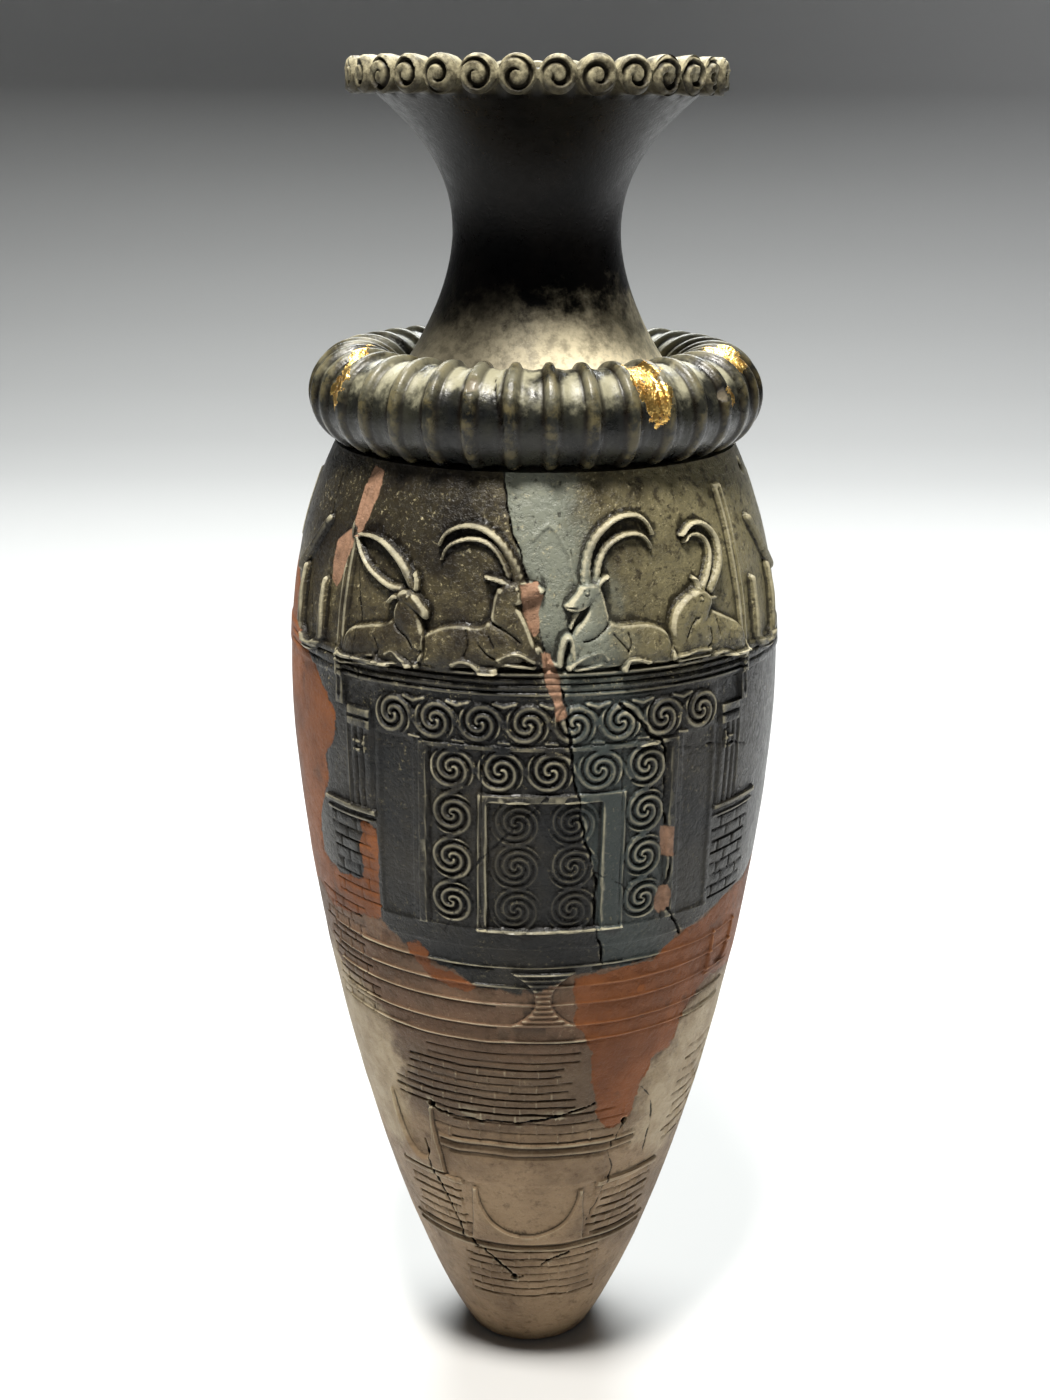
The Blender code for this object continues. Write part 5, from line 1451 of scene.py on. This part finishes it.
def neck_stone():
    """The neck's near-black polished stone, dusty at its foot with a painted highlight on the right, and
    paler scrolls at the rim with painted shade in their grooves and lower half.
    """
    f = Finish("Neck stone, polished, dusty")
    f.ragged = f.math("SUBTRACT", f.noise(6.0, 6.0, 0.7), 0.5)
    clouds = f.noise(16.0, 5.0, 0.6)
    mottle = f.noise(2.2, 5.0, 0.7)
    parts = f.node("ShaderNodeSeparateXYZ", {"Vector": f.place})
    height = parts.outputs["Z"]
    stone = f.mix(f.ramp(clouds, 0.38, 0.66), tone(9, 9, 10), tone(20, 18, 17))
    # Pale dust at the neck's foot, brighter towards the right as painted highlight
    foot = f.ramp(f.frayed(height, 0.030), 0.264, 0.247)
    side = f.ramp(f.frayed(parts.outputs["X"], 0.03), -0.014, 0.012, 0.12, 1.0)
    foot = f.times(foot, f.read("outside"))
    foot_dust_and_highlight = f.times(f.times(foot, side), f.ramp(mottle, 0.36, 0.58, 0.62, 1.0))
    stone = f.mix(foot_dust_and_highlight, stone, tone(224, 212, 180))
    scrolls = f.read("scrolls")
    rim = f.mix(f.ramp(mottle, 0.35, 0.65), tone(146, 139, 114), tone(74, 69, 56))
    # Painted shade in the coils' spiral grooves
    rim = f.mix(f.ramp(f.read("hollow"), 0.1, 0.7, 0.0, 0.92), rim, tone(20, 17, 12))
    # Painted shade: the lower half of the rim's coils darker
    low = f.ramp(f.frayed(height, 0.004), 0.3078, 0.3040, 0.0, 0.85)
    rim = f.mix(low, rim, tone(30, 27, 22))
    colour = f.mix(scrolls, stone, rim)
    f.shader.inputs["Specular IOR Level"].default_value = 0.1
    dry = f.math("MAXIMUM", foot_dust_and_highlight, f.times(scrolls, 0.55))
    rough = f.blend(dry, f.ramp(mottle, 0.3, 0.75, 0.26, 0.42), 0.62)
    height = f.plus(f.noise(0.8, 3.0, 0.6), f.times(mottle, 0.7))
    return f.done(colour, rough, height, 0.07)


# Studio, in metres

FLOOR_HALF = 3.0
WALL_PLACE = 2.0
BEND_RADIUS = 0.8
FLOOR_TONE = (178, 178, 178)
ROOM_COLOUR = (0.86, 0.88, 0.9, 1.0)
ROOM_STRENGTH = 0.06
MIDDLE = (0.0, 0.0, 0.17)
# Soft lamps: name, place, size, power in watts, colour and what each is aimed at
LAMPS = (
    ("Key from above", (-0.08, -0.32, 1.08), 0.20, 30.0, (1.0, 0.97, 0.91), MIDDLE),
    ("Right edge", (0.60, 0.12, 0.60), 0.30, 20.0, (0.97, 0.98, 1.0), MIDDLE),
    ("Left edge", (-0.70, 0.05, 0.75), 0.35, 4.0, (0.97, 0.98, 1.0), MIDDLE),
    ("Backdrop", (0.0, 0.9, 1.6), 1.2, 84.0, (0.97, 1.0, 0.99), (0.0, 2.0, 0.8)),
)
# The photo's viewing angle, as fitted to the vessel's outline: angles in degrees, lens in mm
CAMERA_PLACE = (0.0, -0.455, 0.302)
CAMERA_TILT = 16.72
CAMERA_ROLL = 0.4
CAMERA_LENS = 51.4
CAMERA_FRAME = 36.0
CAMERA_SHIFT = -0.0060


def make_floor():
    """A pale floor that sweeps up behind in a quarter circle and goes on as a wall."""
    bend = [math.radians(9.0 * step) for step in range(11)]
    start = WALL_PLACE - BEND_RADIUS
    run = [(-FLOOR_HALF, 0.0)]
    run += [(start + BEND_RADIUS * math.sin(a), BEND_RADIUS - BEND_RADIUS * math.cos(a)) for a in bend]
    run += [(WALL_PLACE, FLOOR_HALF)]
    corners = [(x, y, z) for y, z in run for x in (-FLOOR_HALF, FLOOR_HALF)]
    faces = [(2 * n, 2 * n + 1, 2 * n + 3, 2 * n + 2) for n in range(len(run) - 1)]
    mesh = bpy.data.meshes.new("floor")
    mesh.from_pydata(corners, [], faces)
    mesh.shade_smooth()
    floor = bpy.data.objects.new("floor", mesh)
    bpy.context.scene.collection.objects.link(floor)
    pale = bpy.data.materials.new("Pale floor")
    pale.use_nodes = True
    shader = pale.node_tree.nodes["Principled BSDF"]
    shader.inputs["Base Color"].default_value = tone(*FLOOR_TONE)
    shader.inputs["Roughness"].default_value = 0.7
    mesh.materials.append(pale)


def make_studio():
    """The floor, soft light from above and the sides, and the camera at the photo's angle."""
    make_floor()
    scene = bpy.context.scene
    scene.view_settings.view_transform = "Standard"
    world = bpy.data.worlds.new("Soft room")
    scene.world = world
    world.use_nodes = True
    back = world.node_tree.nodes["Background"]
    back.inputs["Color"].default_value = ROOM_COLOUR
    back.inputs["Strength"].default_value = ROOM_STRENGTH
    for name, place, size, power, colour, target in LAMPS:
        light = bpy.data.lights.new(name, "AREA")
        light.size = size
        light.energy = power
        light.color = colour
        lamp = bpy.data.objects.new(name, light)
        scene.collection.objects.link(lamp)
        lamp.location = place
        aim = np.array(target) - np.array(place)
        tilt = math.acos(aim[2] / np.linalg.norm(aim)) + math.pi
        lamp.rotation_euler = (tilt, 0.0, math.atan2(aim[0], -aim[1]) + math.pi)
    camera = bpy.data.objects.new("Camera", bpy.data.cameras.new("Camera"))
    scene.collection.objects.link(camera)
    camera.location = CAMERA_PLACE
    tilt = mathutils.Matrix.Rotation(math.radians(90 - CAMERA_TILT), 3, "X")
    turn = tilt @ mathutils.Matrix.Rotation(math.radians(CAMERA_ROLL), 3, "Z")
    camera.rotation_euler = turn.to_euler()
    camera.data.lens = CAMERA_LENS
    camera.data.sensor_width = CAMERA_FRAME
    camera.data.shift_x = CAMERA_SHIFT
    camera.data.clip_start = 0.01
    scene.camera = camera


for made, node, slot, finish in (
    (make_body(), "body", "relief_stone", relief_stone()),
    (make_ring(), "collar_ring", "ribbed_stone", ribbed_stone()),
    (make_neck(), "neck_and_rim", "neck_stone", neck_stone()),
):
    made.data.materials.clear()
    made.data.materials.append(finish)
    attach(made, "root")
    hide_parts(node)

make_studio()
